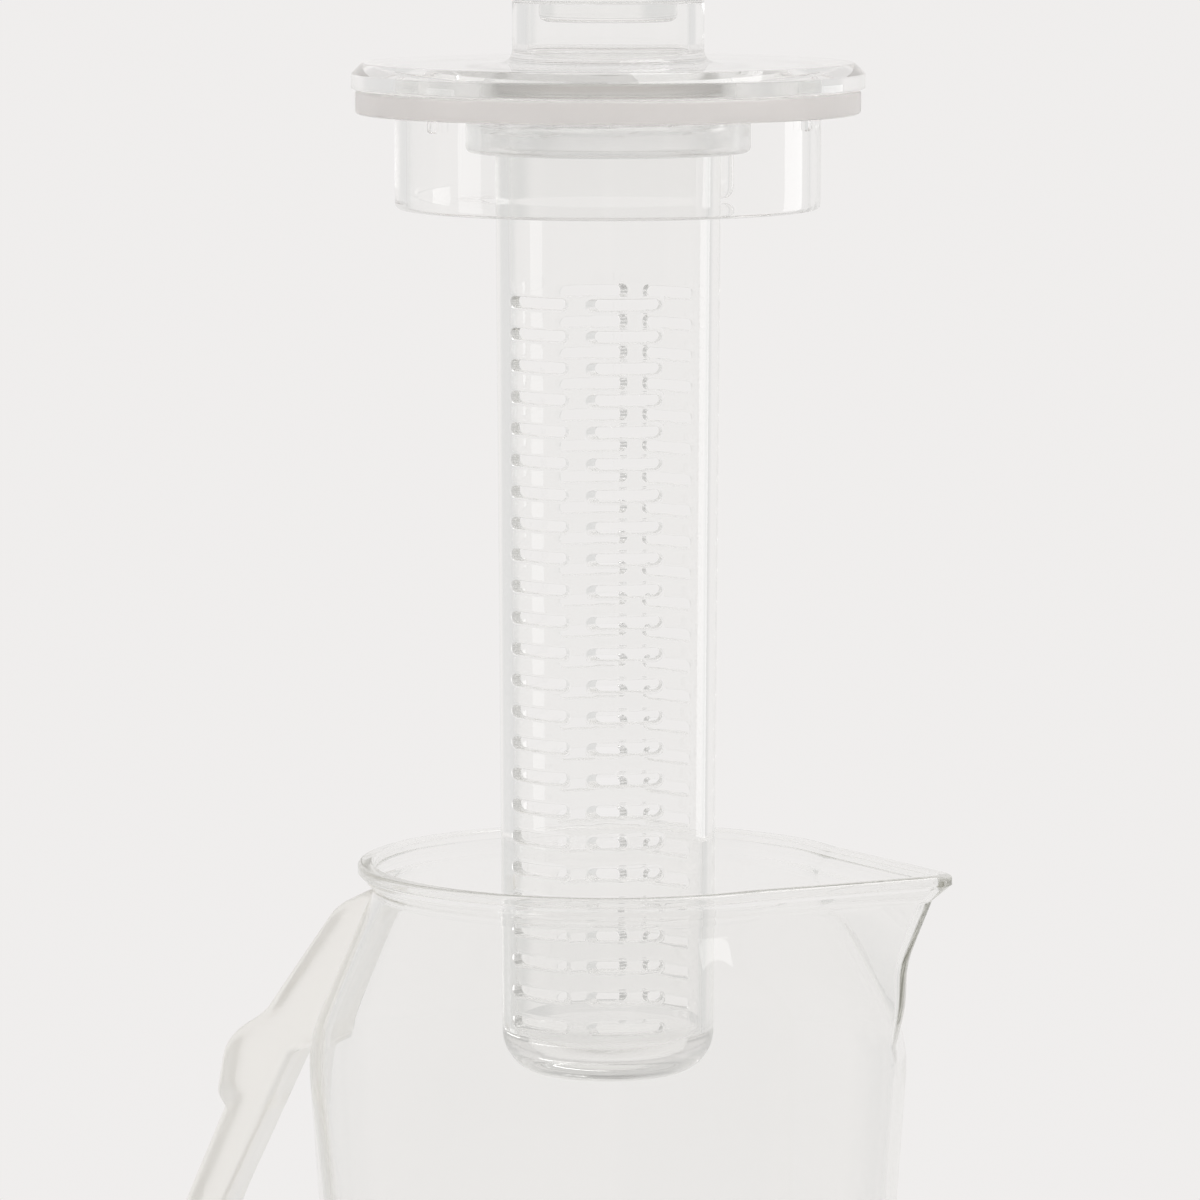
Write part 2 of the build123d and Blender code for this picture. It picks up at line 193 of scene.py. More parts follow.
def share(name, description, value):
    """A plain number that a user may change."""
    return FloatProperty(name=name, description=description, default=value, precision=4)


def tint(name, description, value):
    """A colour that a user may change."""
    return FloatVectorProperty(
        name=name, description=description, default=value, subtype="COLOR", min=0, max=1, size=3
    )


class JarSettings(bpy.types.PropertyGroup):
    """Sizes of the jar and its spout."""

    wall: size("Wall", "Thickness of the jar's wall", 3.0)
    floor: size("Floor", "Thickness of the jar's floor", 5.0)
    base_radius: size("Base radius", "Radius of the foot before its edge is rounded", 58.0)
    base_round: size("Base round", "Rounding of the foot's edge", 7.0)
    shoulder_radius: size("Shoulder radius", "Widest radius of the body", 71.4)
    shoulder_drop: size("Shoulder drop", "Depth of the widest point below the rim", 43.5)
    shoulder_round: size("Shoulder round", "Rounding where body and shoulder meet", 30.0)
    neck_radius: size("Neck radius", "Radius of the neck under the lip", 55.3)
    neck_drop: size("Neck drop", "Depth of the neck below the rim", 6.4)
    rim_radius: size("Rim radius", "Radius of the lip", 59.3)
    rim_band: size("Rim band", "Height of the lip's upright band", 2.4)
    rim_width: size("Rim width", "Width of the lip's flat top", 4.2)
    rim_round: size("Rim round", "Rounding of the lip's edges", 1.1)
    spout_throat: size("Spout throat", "Reach of the spout under its lip", 78.8)
    spout_nose: size("Spout nose", "Rounding of the spout's tip in plan", 6.0)
    keel_rise: size("Keel rise", "How far the spout's keel stands out of the shoulder", 11.6)
    keel_drop: size("Keel drop", "Depth of the keel's hollow below the rim", 21.0)
    keel_sink: size("Keel sink", "How deep the keel runs out into the wall", 4.0)
    flank_sink: size("Flank sink", "How deep the spout's flanks start in the wall", 0.8)
    flank_blend: size("Flank blend", "Softness of the line where spout and wall meet", 0.3)
    columns: IntProperty(name="Columns", description="Faces round the jar", default=300)


class HandleSettings(bpy.types.PropertyGroup):
    """Sizes of the strap handle."""

    thickness: size("Thickness", "Thickness of the strap", 10.4)
    edge_round: size("Edge round", "Rounding of the strap's edges", 2.2)
    lean: angle("Lean", "Lean of the upper leg from upright", 23.4)
    foot_lean: angle("Foot lean", "Lean of the lower leg from upright", 47.5)
    knee_drop: size("Knee drop", "Depth of the upper bend below the rim", 101.0)
    knee_round: size("Knee round", "Radius of the upper bend", 90.0)
    grip: size("Grip", "Upright length between the two bends", 6.3)
    elbow_round: size("Elbow round", "Radius of the lower bend", 32.0)
    root_drop: size("Root drop", "Depth of the root's outer corner below the rim", 12.5)
    root_rise: size("Root rise", "Height of that corner over the shoulder", 7.0)
    root_round: size("Root round", "Rounding of that corner", 12.0)
    armpit_drop: size("Armpit drop", "Depth of the crotch below the rim", 48.0)
    armpit_round: size("Armpit round", "Rounding of the crotch", 3.0)
    thumb_drop: size("Thumb rest drop", "Depth of the thumb rest's start below the rim", 39.0)
    thumb_length: size("Thumb rest length", "Height of the thumb rest", 20.0)
    thumb_rise: size("Thumb rest rise", "How far the thumb rest stands out", 7.0)
    thumb_round: size("Thumb rest round", "Rounding of the thumb rest", 12.0)
    heel_round: size("Heel round", "Rounding under the thumb rest", 2.8)
    bond: size("Bond", "Thickness of the bond between handle and jar", 0.12)


class LidSettings(bpy.types.PropertyGroup):
    """Sizes of the lid's pieces."""

    thickness: size("Disc thickness", "Thickness of the cover's edge", 6.2)
    plate: size("Disc plate", "Thickness of the cover over the plug", 3.2)
    bevel: size("Bevel", "Bevel of the cover's upper edge", 2.6)
    edge_round: size("Edge round", "Rounding of the cover's edges", 0.6)
    knob_radius: size("Knob radius", "Radius of the knob", 22.5)
    knob_wall: size("Knob wall", "Wall of the hollow knob", 3.5)
    knob_root_round: size("Knob root round", "Rounding at the knob's root", 3.0)
    cap_round: size("Cap round", "Rounding of the cap's edges", 1.8)
    boss_radius: size("Boss radius", "Radius of the boss under the cap", 16.3)
    skirt_radius: size("Skirt radius", "Outer radius of the skirt", 50.0)
    skirt_wall: size("Skirt wall", "Wall of the skirt", 2.9)
    foot_round: size("Foot round", "Rounding of the skirt's lower edge", 1.3)
    plug_plate: size("Plug plate", "Thickness of the plate over the skirt", 2.8)
    socket_bore: size("Socket bore", "Radius of the threaded socket", 29.9)
    socket_wall: size("Socket wall", "Wall of the socket", 3.5)
    socket_depth: size("Socket depth", "Depth of the socket below the seat", 9.0)
    gap_arc: angle("Pour gap arc", "Width of the pour gap", 56.0)
    gap_way: angle("Pour gap direction", "Where the pour gap points, from the spout", 39.0)
    gap_top: size("Pour gap top", "Depth of the pour gap's top below the seat", 2.5)
    gap_corner: size("Pour gap corner", "Rounding of the pour gap's corners", 3.0)
    gasket_round: size("Gasket round", "Rounding of the gasket's edges", 0.8)
    nub_way: angle("Nub direction", "Where the first gasket nub points, from the spout", -7.5)
    nub_width: size("Nub width", "Width of a gasket nub", 2.2)
    nub_height: size("Nub height", "Height of a gasket nub", 3.0)
    nub_rise: size("Nub rise", "How far a nub stands out of the skirt", 1.2)
    nub_drop: size("Nub drop", "Gap between a nub and the gasket", 0.3)
    bond: size("Bond", "Thickness of the bond between two pieces of the lid", 0.1)


class InfuserSettings(bpy.types.PropertyGroup):
    """Sizes of the infuser tube and its thread."""

    radius_top: size("Top radius", "Outer radius under the threaded head", 26.5)
    radius_foot: size("Foot radius", "Outer radius at the foot", 25.0)
    wall: size("Wall", "Wall of the tube", 3.0)
    floor: size("Floor", "Thickness of the tube's floor", 6.0)
    foot_round: size("Foot round", "Rounding of the foot's edge", 10.0)
    head_radius: size("Head radius", "Radius of the head at the thread's root", 27.5)
    head_depth: size("Head depth", "Depth of the head below the seat", 7.5)
    mouth_round: size("Mouth round", "Rounding of the mouth's edges", 0.5)
    rows: IntProperty(name="Rows", description="Rows of slots", default=24)
    slot_length: size("Slot length", "Length of a slot", 15.8)
    slot_height: size("Slot height", "Height of a slot", 2.6)
    slot_rib: size("Slot rib", "Width of the rib between two slots", 4.6)
    slot_edge: size("Slot edge", "Rounding of a slot's edges", 0.6)
    slot_draft: size("Slot draft", "How much a slot shortens through the wall, at each end", 1.2)
    first_drop: size("First row", "Depth of the first row below the seat", 43.2)
    foot_margin: size("Foot margin", "Height of the last row over the foot", 14.1)
    thread_pitch: size("Thread pitch", "Rise of the thread in one turn", 4.0)
    thread_turns: share("Thread turns", "Turns of the thread", 2.0)
    thread_height: size("Thread height", "Height of the thread's rib", 1.8)
    thread_root: size("Thread root", "Width of the rib at its root", 1.7)
    thread_crest: size("Thread crest", "Width of the rib at its crest", 0.9)
    thread_drop: size("Thread start", "Depth of the thread's start below the seat", 6.2)


class FinishSettings(bpy.types.PropertyGroup):
    """Colours and surface of the clear plastic and the silicone."""

    acrylic: tint("Acrylic", "Tint of the clear plastic", (0.995, 0.995, 0.992))
    acrylic_depth: tint("Acrylic depth", "Colour deep in the plastic", (0.9, 0.9, 0.885))
    acrylic_density: share("Acrylic density", "How fast it comes in the jar, per metre", 50.0)
    infuser_density: share("Infuser density", "How fast it comes in the infuser, per metre", 20.0)
    skirt_density: share("Skirt density", "How fast it comes in the lid's skirt, per metre", 10.0)
    cover_density: share("Cover density", "The same in disc, cap and socket, per metre", 6.0)
    acrylic_index: share("Acrylic index", "Index of refraction of the plastic", 1.49)
    frost: share("Socket frost", "Roughness of the threaded socket", 0.22)
    haze: share("Handle haze", "Roughness of the handle", 0.34)
    haze_depth: tint("Handle depth", "Colour deep in the handle", (0.86, 0.83, 0.74))
    haze_density: share("Handle density", "How fast that comes, per metre", 15.0)
    silicone: tint("Silicone", "Colour of the rings", (0.98, 0.958, 0.943))
    silicone_index: share("Silicone index", "Index of refraction of the rings", 1.41)
    gasket_clearness: share("Gasket clearness", "How much light goes through the gasket", 0.6)
    seal_clearness: share("Seal clearness", "How much light goes through the seal", 1.0)


class StageSettings(bpy.types.PropertyGroup):
    """Camera, lamps and surroundings."""

    camera_distance: size("Camera distance", "From the pitcher's axis, level", 1664.0)
    camera_height: size("Camera height", "Over the floor", 497.0)
    camera_way: angle("Camera direction", "Turn of the camera round the pitcher", 16.0)
    aim_height: size("Aim height", "Height of the picture's middle on the axis", 302.0)
    aim_side: size("Aim side", "How far the picture's middle lies left of the axis", 1.9)
    lens: share("Lens", "Focal length in millimetres on a 36 mm sensor", 213.0)
    backdrop: tint("Backdrop", "Colour of the surroundings", (0.868, 0.853, 0.845))
    flag: tint("Flags", "Colour of the dim flags seen through the plastic", (0.74, 0.737, 0.73))
    ceiling: tint("Ceiling", "Colour of the ceiling seen through the plastic", (0.72, 0.715, 0.708))
    mirrored: tint("Mirrored", "Colour of the room's front in reflections", (0.64, 0.636, 0.63))
    floor: tint("Floor", "Colour of the floor", (0.84, 0.838, 0.832))
    floor_radius: size("Floor radius", "Radius of the floor", 780.0)


def straight(start, end, step):
    """Points from start to end, at most a step apart."""
    count = max(1, math.ceil(np.linalg.norm(end - start) / step - 1e-6))
    return start + (end - start) * np.linspace(0, 1, count + 1)[:, None]


def rounded_path(corners, rounds, step, arc_step=ARC_STEP):
    """Points along a polyline whose corners are tangent arcs.

    A corner that turns by t with radius r loses r * tan(t / 2) of each leg, and its arc is the
    spoke from the centre to the first tangent point, turned from 0 to t.
    """
    corners = np.asarray(corners, float)
    runs = []
    start = corners[0]
    for before, corner, after, radius in zip(corners, corners[1:], corners[2:], rounds):
        enter = (corner - before) / np.linalg.norm(corner - before)
        leave = (after - corner) / np.linalg.norm(after - corner)
        turn = math.atan2(enter[0] * leave[1] - enter[1] * leave[0], enter @ leave)
        lost = radius * math.tan(abs(turn) / 2)
        runs.append(straight(start, corner - enter * lost, step))
        inward = np.array([-enter[1], enter[0]]) * math.copysign(radius, turn)
        sweep = np.linspace(0, turn, max(2, math.ceil(abs(turn) / arc_step) + 1))[:, None]
        spoke, across = -inward, np.array([inward[1], -inward[0]])
        runs.append(corner - enter * lost + inward + spoke * np.cos(sweep) + across * np.sin(sweep))
        start = corner + leave * lost
    runs.append(straight(start, corners[-1], step))
    path = np.concatenate(runs)
    apart = np.linalg.norm(np.diff(path, axis=0), axis=1) > 1e-8
    return path[np.concatenate([[True], apart])]


def path_lengths(path):
    """Distance along a path up to each of its points."""
    return np.concatenate([[0], np.cumsum(np.linalg.norm(np.diff(path, axis=0), axis=1))])


def walk(path, distances):
    """Points at given distances along a path."""
    along = path_lengths(path)
    return np.stack([np.interp(distances, along, path[:, axis]) for axis in range(2)], axis=-1)


def turned(radii, heights, angles):
    """Surface of revolution: (r cos a, r sin a, z) for whole arrays that broadcast together."""
    radii, heights, angles = np.broadcast_arrays(radii, heights, angles)
    return np.stack([radii * np.cos(angles), radii * np.sin(angles), heights], axis=-1)


def full_turn(columns):
    """Angles of the columns of a surface of revolution, without the repeated last one."""
    return np.linspace(0, 2 * math.pi, columns, endpoint=False)


def grid_faces(grids, closed):
    """Corner numbers of the quads of a stack of grids, shape (count, rows, columns, 3)."""
    count, rows, columns, _ = grids.shape
    numbers = np.arange(count * rows * columns).reshape(count, rows, columns)
    across = np.roll(numbers, -1, axis=2) if closed else numbers[:, :, 1:]
    here = numbers if closed else numbers[:, :, :-1]
    quads = [here[:, :-1], across[:, :-1], across[:, 1:], here[:, 1:]]
    return np.stack(quads, axis=-1).reshape(-1, 4)


def add_piece(name, sheets, body, materials, replaces=None, crease=CREASE):
    """Makes one closed piece from sheets of (grid, closed columns, material number).

    The sheets are stitched where their edges meet, their normals turned outwards, and edges
    sharper than the crease stay sharp.
    """
    points, faces, slots = [], [], []
    total = 0
    for grid, closed, number in sheets:
        grids = np.asarray(grid, float)
        grids = grids.reshape(-1, *grids.shape[-3:])
        quads = grid_faces(grids, closed)
        points.append(grids.reshape(-1, 3))
        faces.append(quads + total)
        slots.append(np.full(len(quads), number))
        total += grids.size // 3
    mesh = bpy.data.meshes.new(name)
    mesh.from_pydata(np.concatenate(points).tolist(), [], np.concatenate(faces).tolist())
    mesh.polygons.foreach_set("material_index", np.concatenate(slots).astype(np.int32))
    shape = bmesh.new()
    shape.from_mesh(mesh)
    bmesh.ops.remove_doubles(shape, verts=shape.verts, dist=STITCH)
    bmesh.ops.dissolve_degenerate(shape, edges=shape.edges, dist=STITCH)
    bmesh.ops.recalc_face_normals(shape, faces=shape.faces)
    open_edges = sum(1 for edge in shape.edges if not edge.is_manifold)
    if open_edges:
        raise RuntimeError(f"{name} has {open_edges} open edges")
    shape.to_mesh(mesh)
    shape.free()
    mesh.shade_smooth()
    mesh.set_sharp_from_angle(angle=crease)
    for material in materials:
        mesh.materials.append(material)
    piece = bpy.data.objects.new(name, mesh)
    bpy.context.scene.collection.objects.link(piece)
    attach(piece, body)
    if replaces:
        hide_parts(replaces)
    return piece


def jar_corners(jar):
    """Corners of the jar's half section, up the outside, over the lip and down the inside."""
    top = JAR_HIGH.z
    neck_z = top - jar.neck_drop
    band_z = top - jar.rim_band
    widest_z = top - jar.shoulder_drop
    outside = [
        (jar.base_radius, 0.0),
        (jar.shoulder_radius, widest_z),
        (jar.neck_radius, neck_z),
        (jar.rim_radius, band_z),
        (jar.rim_radius, top),
    ]
    inside = [
        (jar.rim_radius - jar.rim_width, top),
        (jar.rim_radius - jar.rim_width, band_z),
        (jar.neck_radius - jar.wall, neck_z),
        (jar.shoulder_radius - jar.wall, widest_z),
        (jar.base_radius - jar.wall, jar.floor),
    ]
    return outside, inside


def jar_rounds(jar):
    """Roundings of the outside and of the inside, in the order of their corners."""
    outside = [jar.base_round, jar.shoulder_round, jar.rim_band, jar.rim_round / 2, jar.rim_round]
    inside = [
        jar.rim_round,
        jar.rim_round / 2,
        jar.rim_band,
        jar.shoulder_round - jar.wall,
        jar.base_round - jar.wall,
    ]
    return outside, inside


def jar_outside(jar, heights):
    """Radius of the jar's outside, without its spout, at given heights."""
    corners, _ = jar_corners(jar)
    rounds, _ = jar_rounds(jar)
    path = rounded_path([(0, 0), *corners], rounds[:-1], PROFILE_STEP)
    return np.interp(heights, path[:, 1], path[:, 0])


def shoulder_radius(jar, drop):
    """Radius of the conical shoulder at a drop below the rim."""
    slope = (jar.shoulder_radius - jar.neck_radius) / (jar.shoulder_drop - jar.neck_drop)
    return jar.neck_radius + slope * (drop - jar.neck_drop)


def spout_reach(jar, heights):
    """Reach of the spout's outside: a cubic through the keel's points, then the flared lip.

    Between two points the reach is the straight line plus t (1 - t) times a bend that makes each
    end meet the slope of its point.
    """
    keel = shoulder_radius(jar, jar.keel_drop) + jar.keel_rise
    middle = (jar.keel_drop + jar.shoulder_drop) / 2
    keys = [
        (jar.shoulder_drop + jar.neck_drop, jar.shoulder_radius - jar.keel_sink),
        (middle, shoulder_radius(jar, middle) + jar.keel_rise / 2),
        (jar.keel_drop, keel),
        ((jar.neck_drop + jar.keel_drop) / 2, (jar.spout_throat + 2 * keel) / 3 + jar.flank_sink),
        (jar.neck_drop, jar.spout_throat),
    ]
    drops, reaches = np.array(keys).T
    knots = JAR_HIGH.z - drops
    slopes = np.gradient(reaches, knots)
    part = np.clip(np.searchsorted(knots, heights) - 1, 0, len(knots) - 2)
    width = knots[part + 1] - knots[part]
    t = np.clip((heights - knots[part]) / width, 0, 1)
    rise = reaches[part + 1] - reaches[part]
    bend_in = slopes[part] * width - rise
    bend_out = rise - slopes[part + 1] * width
    throat = reaches[part] + rise * t + t * (1 - t) * (bend_in * (1 - t) + bend_out * t)
    lip_z = [JAR_HIGH.z - jar.neck_drop, JAR_HIGH.z - jar.rim_band]
    lip = np.interp(heights, lip_z, [jar.spout_throat, JAR_HIGH.x])
    return np.where(heights > lip_z[0], lip, throat)


def teardrop(jar, angles, radii, reaches, noses):
    """Polar radius of the jar's plan: a circle, with a spout of two flanks and a round nose.

    A flank is a tangent of a circle sunk a little in the wall, r / cos(a - lean), and the nose
    is the far side of a small circle. The larger of circle and spout is taken, softly.
    """
    flank = radii - jar.flank_sink
    middle = reaches - noses
    lean = np.arccos(np.clip((flank - noses) / middle, -1, 1))
    bend = np.abs(angles)
    tangent = flank / np.cos(np.minimum(bend - lean, 0))
    nose = middle * np.cos(bend) + np.sqrt(np.maximum(noses**2 - (middle * np.sin(bend)) ** 2, 0))
    nose_edge = np.arctan2(noses * np.sin(lean), middle + noses * np.cos(lean))
    spout = np.where(bend < nose_edge, nose, tangent)
    spout = np.where(reaches > flank, spout, flank)
    return (radii + spout + np.hypot(radii - spout, jar.flank_blend)) / 2


def build_jar(jar, clear):
    """The jar: its half section carried round, widened by the spout's plan at each height."""
    outside, inside = jar_corners(jar)
    outer_rounds, inner_rounds = jar_rounds(jar)
    corners = [(0, 0), *outside, *inside, (0, jar.floor)]
    section = rounded_path(corners, outer_rounds + inner_rounds, JAR_STEP)
    radii, heights = section[:, :1], section[:, 1:]
    inset = jar_outside(jar, heights) - radii
    reaches = spout_reach(jar, heights) - inset
    noses = jar.spout_nose - np.minimum(inset, jar.rim_width)
    even = np.linspace(-1, 1, jar.columns, endpoint=False)
    angles = math.pi * even * np.abs(even)
    in_spout = heights > JAR_HIGH.z - jar.shoulder_drop - jar.neck_drop
    plan = np.where(in_spout, teardrop(jar, angles, radii, reaches, noses), radii)
    sheet = turned(plan, heights, angles[None, :])
    sheets = [(sheet, True, 0)]
    return add_piece("clear_jar", sheets, "jar", [clear], "pitcher_body")


def strap_edges(jar, handle):
    """Outer and inner edge of the strap as paths of (offset from the axis, height)."""
    top = JAR_HIGH.z
    reach = -HANDLE_LOW.x
    inner_reach = reach - handle.thickness
    knee_turn, elbow_turn = math.tan(handle.lean / 2), math.tan(handle.foot_lean / 2)
    knee_foot = handle.knee_drop + handle.knee_round * knee_turn
    elbow = knee_foot + handle.grip + handle.elbow_round * elbow_turn
    inner_knee = handle.knee_drop - handle.thickness * knee_turn
    inner_elbow = elbow - handle.thickness * elbow_turn
    heel = handle.thumb_drop + handle.thumb_length
    brow = handle.thumb_drop + handle.thumb_length / 3
    sunk = jar.neck_radius - jar.wall

    def strap(drop):
        """Offset of the upper leg's outer face at a drop below the rim."""
        return reach - (handle.knee_drop - drop) * math.tan(handle.lean)

    def foot(offset, start, drop):
        """Drop of the lower leg at an offset, from where it starts."""
        return drop + (start - offset) / math.tan(handle.foot_lean)

    outer = [
        (sunk, jar.neck_drop),
        (shoulder_radius(jar, handle.root_drop) + handle.root_rise, handle.root_drop),
        (strap(handle.thumb_drop), handle.thumb_drop),
        (strap(brow) + handle.thumb_rise, brow),
        (strap(heel) + handle.thumb_rise / 2, heel),
        (strap(heel + handle.heel_round), heel + handle.heel_round),
        (reach, handle.knee_drop),
        (reach, elbow),
        (sunk, foot(sunk, reach, elbow)),
    ]
    outer_rounds = [
        handle.root_round,
        handle.thumb_round,
        handle.thumb_round,
        handle.heel_round,
        handle.heel_round / 2,
        handle.knee_round,
        handle.elbow_round,
    ]
    inner = [
        (sunk, handle.armpit_drop - handle.armpit_round),
        (strap(handle.armpit_drop) - handle.thickness / math.cos(handle.lean), handle.armpit_drop),
        (inner_reach, inner_knee),
        (inner_reach, inner_elbow),
        (sunk, foot(sunk, inner_reach, inner_elbow)),
    ]
    inner_rounds = [
        handle.armpit_round,
        handle.knee_round - handle.thickness,
        handle.elbow_round - handle.thickness,
    ]
    paths = []
    for corners, rounds in ((outer, outer_rounds), (inner, inner_rounds)):
        points = [(offset, top - drop) for offset, drop in corners]
        path = rounded_path(points, rounds, STRAP_STEP, STRAP_ARC)
        clear_of_jar = path[:, 0] > jar_outside(jar, path[:, 1]) + handle.bond
        paths.append(path[clear_of_jar])
    return paths


def strap_section(handle):
    """Rounded rectangle of the strap: shares of the edge round and of the flat, and the width.

    The thickness at a point is near * round + flat * (thickness - 2 * round), and the width is
    given outright.
    """
    quarter = np.linspace(0, math.pi / 2, STRAP_ROUND)
    bow, rise = 1 - np.cos(quarter), np.sin(quarter)
    inner_half = HANDLE_HIGH.y - handle.edge_round
    down = np.linspace(0, 1, STRAP_FLAT + 1)[1:-1]
    across = (2 * down - 1) * inner_half
    one, none = np.ones(len(down)), np.zeros(len(down))
    side_near = np.concatenate([bow, one, 1 + rise])
    side_flat = np.concatenate([np.zeros(STRAP_ROUND), down, np.ones(STRAP_ROUND)])
    side_width = inner_half + handle.edge_round * np.concatenate([rise, one, np.cos(quarter)])
    near = np.concatenate([side_near, 2 * one, side_near[::-1], none])
    flat = np.concatenate([side_flat, one, side_flat[::-1], none])
    width = np.concatenate([side_width, -across, -side_width[::-1], across])
    return near, flat, width


def build_handle(jar, handle, clear):
    """The strap: a rounded rectangle carried between its two edges, closed by two caps.

    A fan of sections turns from the root, which lies on the jar's shoulder, to the strap, and
    the caps are the end sections shrunk to their middles on the jar's surface.
    """
    outer, inner = strap_edges(jar, handle)
    outer_length, inner_length = path_lengths(outer)[-1], path_lengths(inner)[-1]
    fan_end = path_lengths(outer)[np.argmin(np.linalg.norm(outer - inner[0], axis=1))]
    knots = [0, FAN_SECTIONS, STRAP_SECTIONS]
    order = np.arange(STRAP_SECTIONS + 1)
    far = walk(outer, np.interp(order, knots, [0, fan_end, outer_length]))
    near_edge = walk(inner, np.interp(order, knots, [0, 2 * handle.armpit_round, inner_length]))
    near, flat, width = strap_section(handle)
    thickness = np.linalg.norm(near_edge - far, axis=1)[:, None]
    depth = near * handle.edge_round + flat * (thickness - 2 * handle.edge_round)
    offsets = far[:, :1] + (near_edge - far)[:, :1] * depth / thickness
    heights = far[:, 1:] + (near_edge - far)[:, 1:] * depth / thickness
    widths = np.broadcast_to(width, offsets.shape)

    def on_jar(row):
        """Rings of one end section, shrunk from its outline to its middle, laid on the jar."""
        shrink = np.linspace(1, 0, STRAP_ROUND)[:, None]
        middle = (heights[row].min() + heights[row].max()) / 2
        ring_heights = middle + (heights[row] - middle) * shrink
        ring_widths = widths[row] * shrink
        radius = jar_outside(jar, ring_heights) + handle.bond
        return np.sqrt(radius**2 - ring_widths**2), ring_heights, ring_widths

    root, foot = on_jar(0), on_jar(-1)
    between = [offsets[1:-1], heights[1:-1], widths[1:-1]]
    blocks = [[part[::-1] for part in root], between, foot]
    offset, height, side = (np.concatenate(parts) for parts in zip(*blocks))
    sheet = np.stack([-offset, side, height], axis=-1)
    return add_piece("strap_handle", [(sheet, True, 0)], "jar", [clear], "handle")


def lathe(name, corners, rounds, body, material, replaces, columns=192):
    """A piece turned about the axis from a half section that is closed or ends on the axis."""
    section = rounded_path(corners, rounds, LID_STEP)
    sheet = turned(section[:, :1], section[:, 1:], full_turn(columns)[None, :])
    return add_piece(name, [(sheet, True, 0)], body, [material], replaces)


def build_cover(lid, clear):
    """The bevelled disc, recessed below for the plug, with the hollow knob on top."""
    under, knob_top, rim = COVER_LOW.z, COVER_HIGH.z, COVER_HIGH.x
    top = under + lid.thickness
    ceiling = top - lid.plate
    recess = lid.skirt_radius + lid.bond
    bore = lid.knob_radius - lid.knob_wall
    corners = [
        (0, ceiling),
        (recess, ceiling),
        (recess, under),
        (rim, under),
        (rim, top - lid.bevel),
        (rim - lid.bevel, top),
        (lid.knob_radius, top),
        (lid.knob_radius, knob_top),
        (bore, knob_top),
        (bore, top),
        (0, top),
    ]
    edge = lid.edge_round
    rounds = [0, edge, edge, edge, edge, lid.knob_root_round, edge, edge, lid.knob_root_round / 2]
    return lathe("cover_disc", corners, rounds, "lid", clear, "lid_cover")


def build_cap(lid, clear):
    """The cap: a rounded disc on the knob's wall, with a boss that hangs inside the knob."""
    seat = COVER_HIGH.z + lid.bond
    overhang = CAP_HIGH.x - lid.knob_radius
    corners = [
        (0, CAP_LOW.z),
        (lid.boss_radius, CAP_LOW.z),
        (lid.boss_radius, seat),
        (CAP_HIGH.x, seat),
        (CAP_HIGH.x, CAP_HIGH.z),
        (0, CAP_HIGH.z),
    ]
    rounds = [lid.cap_round, lid.cap_round / 3, overhang / 2, lid.cap_round]
    return lathe("knob_plug", corners, rounds, "lid", clear, "knob_cap")


def build_rings(lid, cloudy, clear):
    """The lid's gasket and the infuser's seal: rounded rectangles carried round the axis."""
    gasket_bore = lid.skirt_radius + lid.nub_drop
    seal_bore = SEAL_HIGH.x - SEAL_WIDTH
    rings = [
        ("gasket_ring", "lid_gasket", "gasket", gasket_bore, lid.gasket_round, cloudy),
        ("seal_ring", "socket_seal", "seal", seal_bore, (SEAL_HIGH.z - SEAL_LOW.z) / 4, clear),
    ]
    for name, node, body, bore, edge, material in rings:
        low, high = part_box(node)
        middle = (bore + high.x) / 2
        start = (middle, low.z)
        turns = [(high.x, low.z), (high.x, high.z), (bore, high.z), (bore, low.z)]
        corners = [start, *turns, start]
        lathe(name, corners, [edge] * 4, body, material, node)


def thread_rib(infuser, angles, heights, start):
    """Height of the thread's rib from 0 to 1: a trapezoid across a right-hand helix.

    A point lies (z - start) / pitch - angle / full turn whole turns from the helix; the distance
    to the nearest turn gives the trapezoid, and the rib runs out at both ends.
    """
    share_of_turn = np.mod(angles, 2 * math.pi) / (2 * math.pi)
    turns = (heights - start) / infuser.thread_pitch - share_of_turn
    nearest = np.round(turns)
    distance = np.abs(turns - nearest) * infuser.thread_pitch
    flank = (infuser.thread_root - infuser.thread_crest) / 2
    rib = np.clip((infuser.thread_root / 2 - distance) / flank, 0, 1)
    along = nearest + share_of_turn
    run_in = np.clip(along / THREAD_RUN_OUT, 0, 1)
    run_out = np.clip((infuser.thread_turns - along) / THREAD_RUN_OUT, 0, 1)
    return rib * run_in * run_out


def skirt_outline(lid):
    """Lower edge of the skirt, unrolled: (distance round the skirt, height), round the pour gap.

    Also gives the directions into the wall, and for each point the distance round the skirt at
    which its column starts under the plate: the columns of an upright edge fan out above it.
    """
    radius = lid.skirt_radius
    half, middle = lid.gap_arc / 2 * radius, lid.gap_way * radius
    begin, end = middle - math.pi * radius, middle + math.pi * radius
    foot, top = PLUG_LOW.z, GASKET_LOW.z - lid.gap_top
    corners = [
        (begin, foot),
        (middle - half, foot),
        (middle - half, top),
        (middle + half, top),
        (middle + half, foot),
        (end, foot),
    ]
    path = rounded_path(corners, [lid.gap_corner] * 4, SKIRT_STEP, SKIRT_ARC)
    way = np.gradient(path, axis=0)
    way /= np.linalg.norm(way, axis=1)[:, None]
    inward = np.stack([-way[:, 1], way[:, 0]], axis=1)
    along = path_lengths(path)
    raised = along[path[:, 1] > foot + STITCH]
    crossing = along[path[:, 1] > top - STITCH]
    spread = lid.gap_corner
    keys = [0, raised[0], crossing[0], crossing[-1], raised[-1], along[-1]]
    columns = [
        begin,
        middle - half - spread,
        middle - half + spread,
        middle + half - spread,
        middle + half + spread,
        end,
    ]
    return path[:-1], inward[:-1], np.interp(along, keys, columns)[:-1]


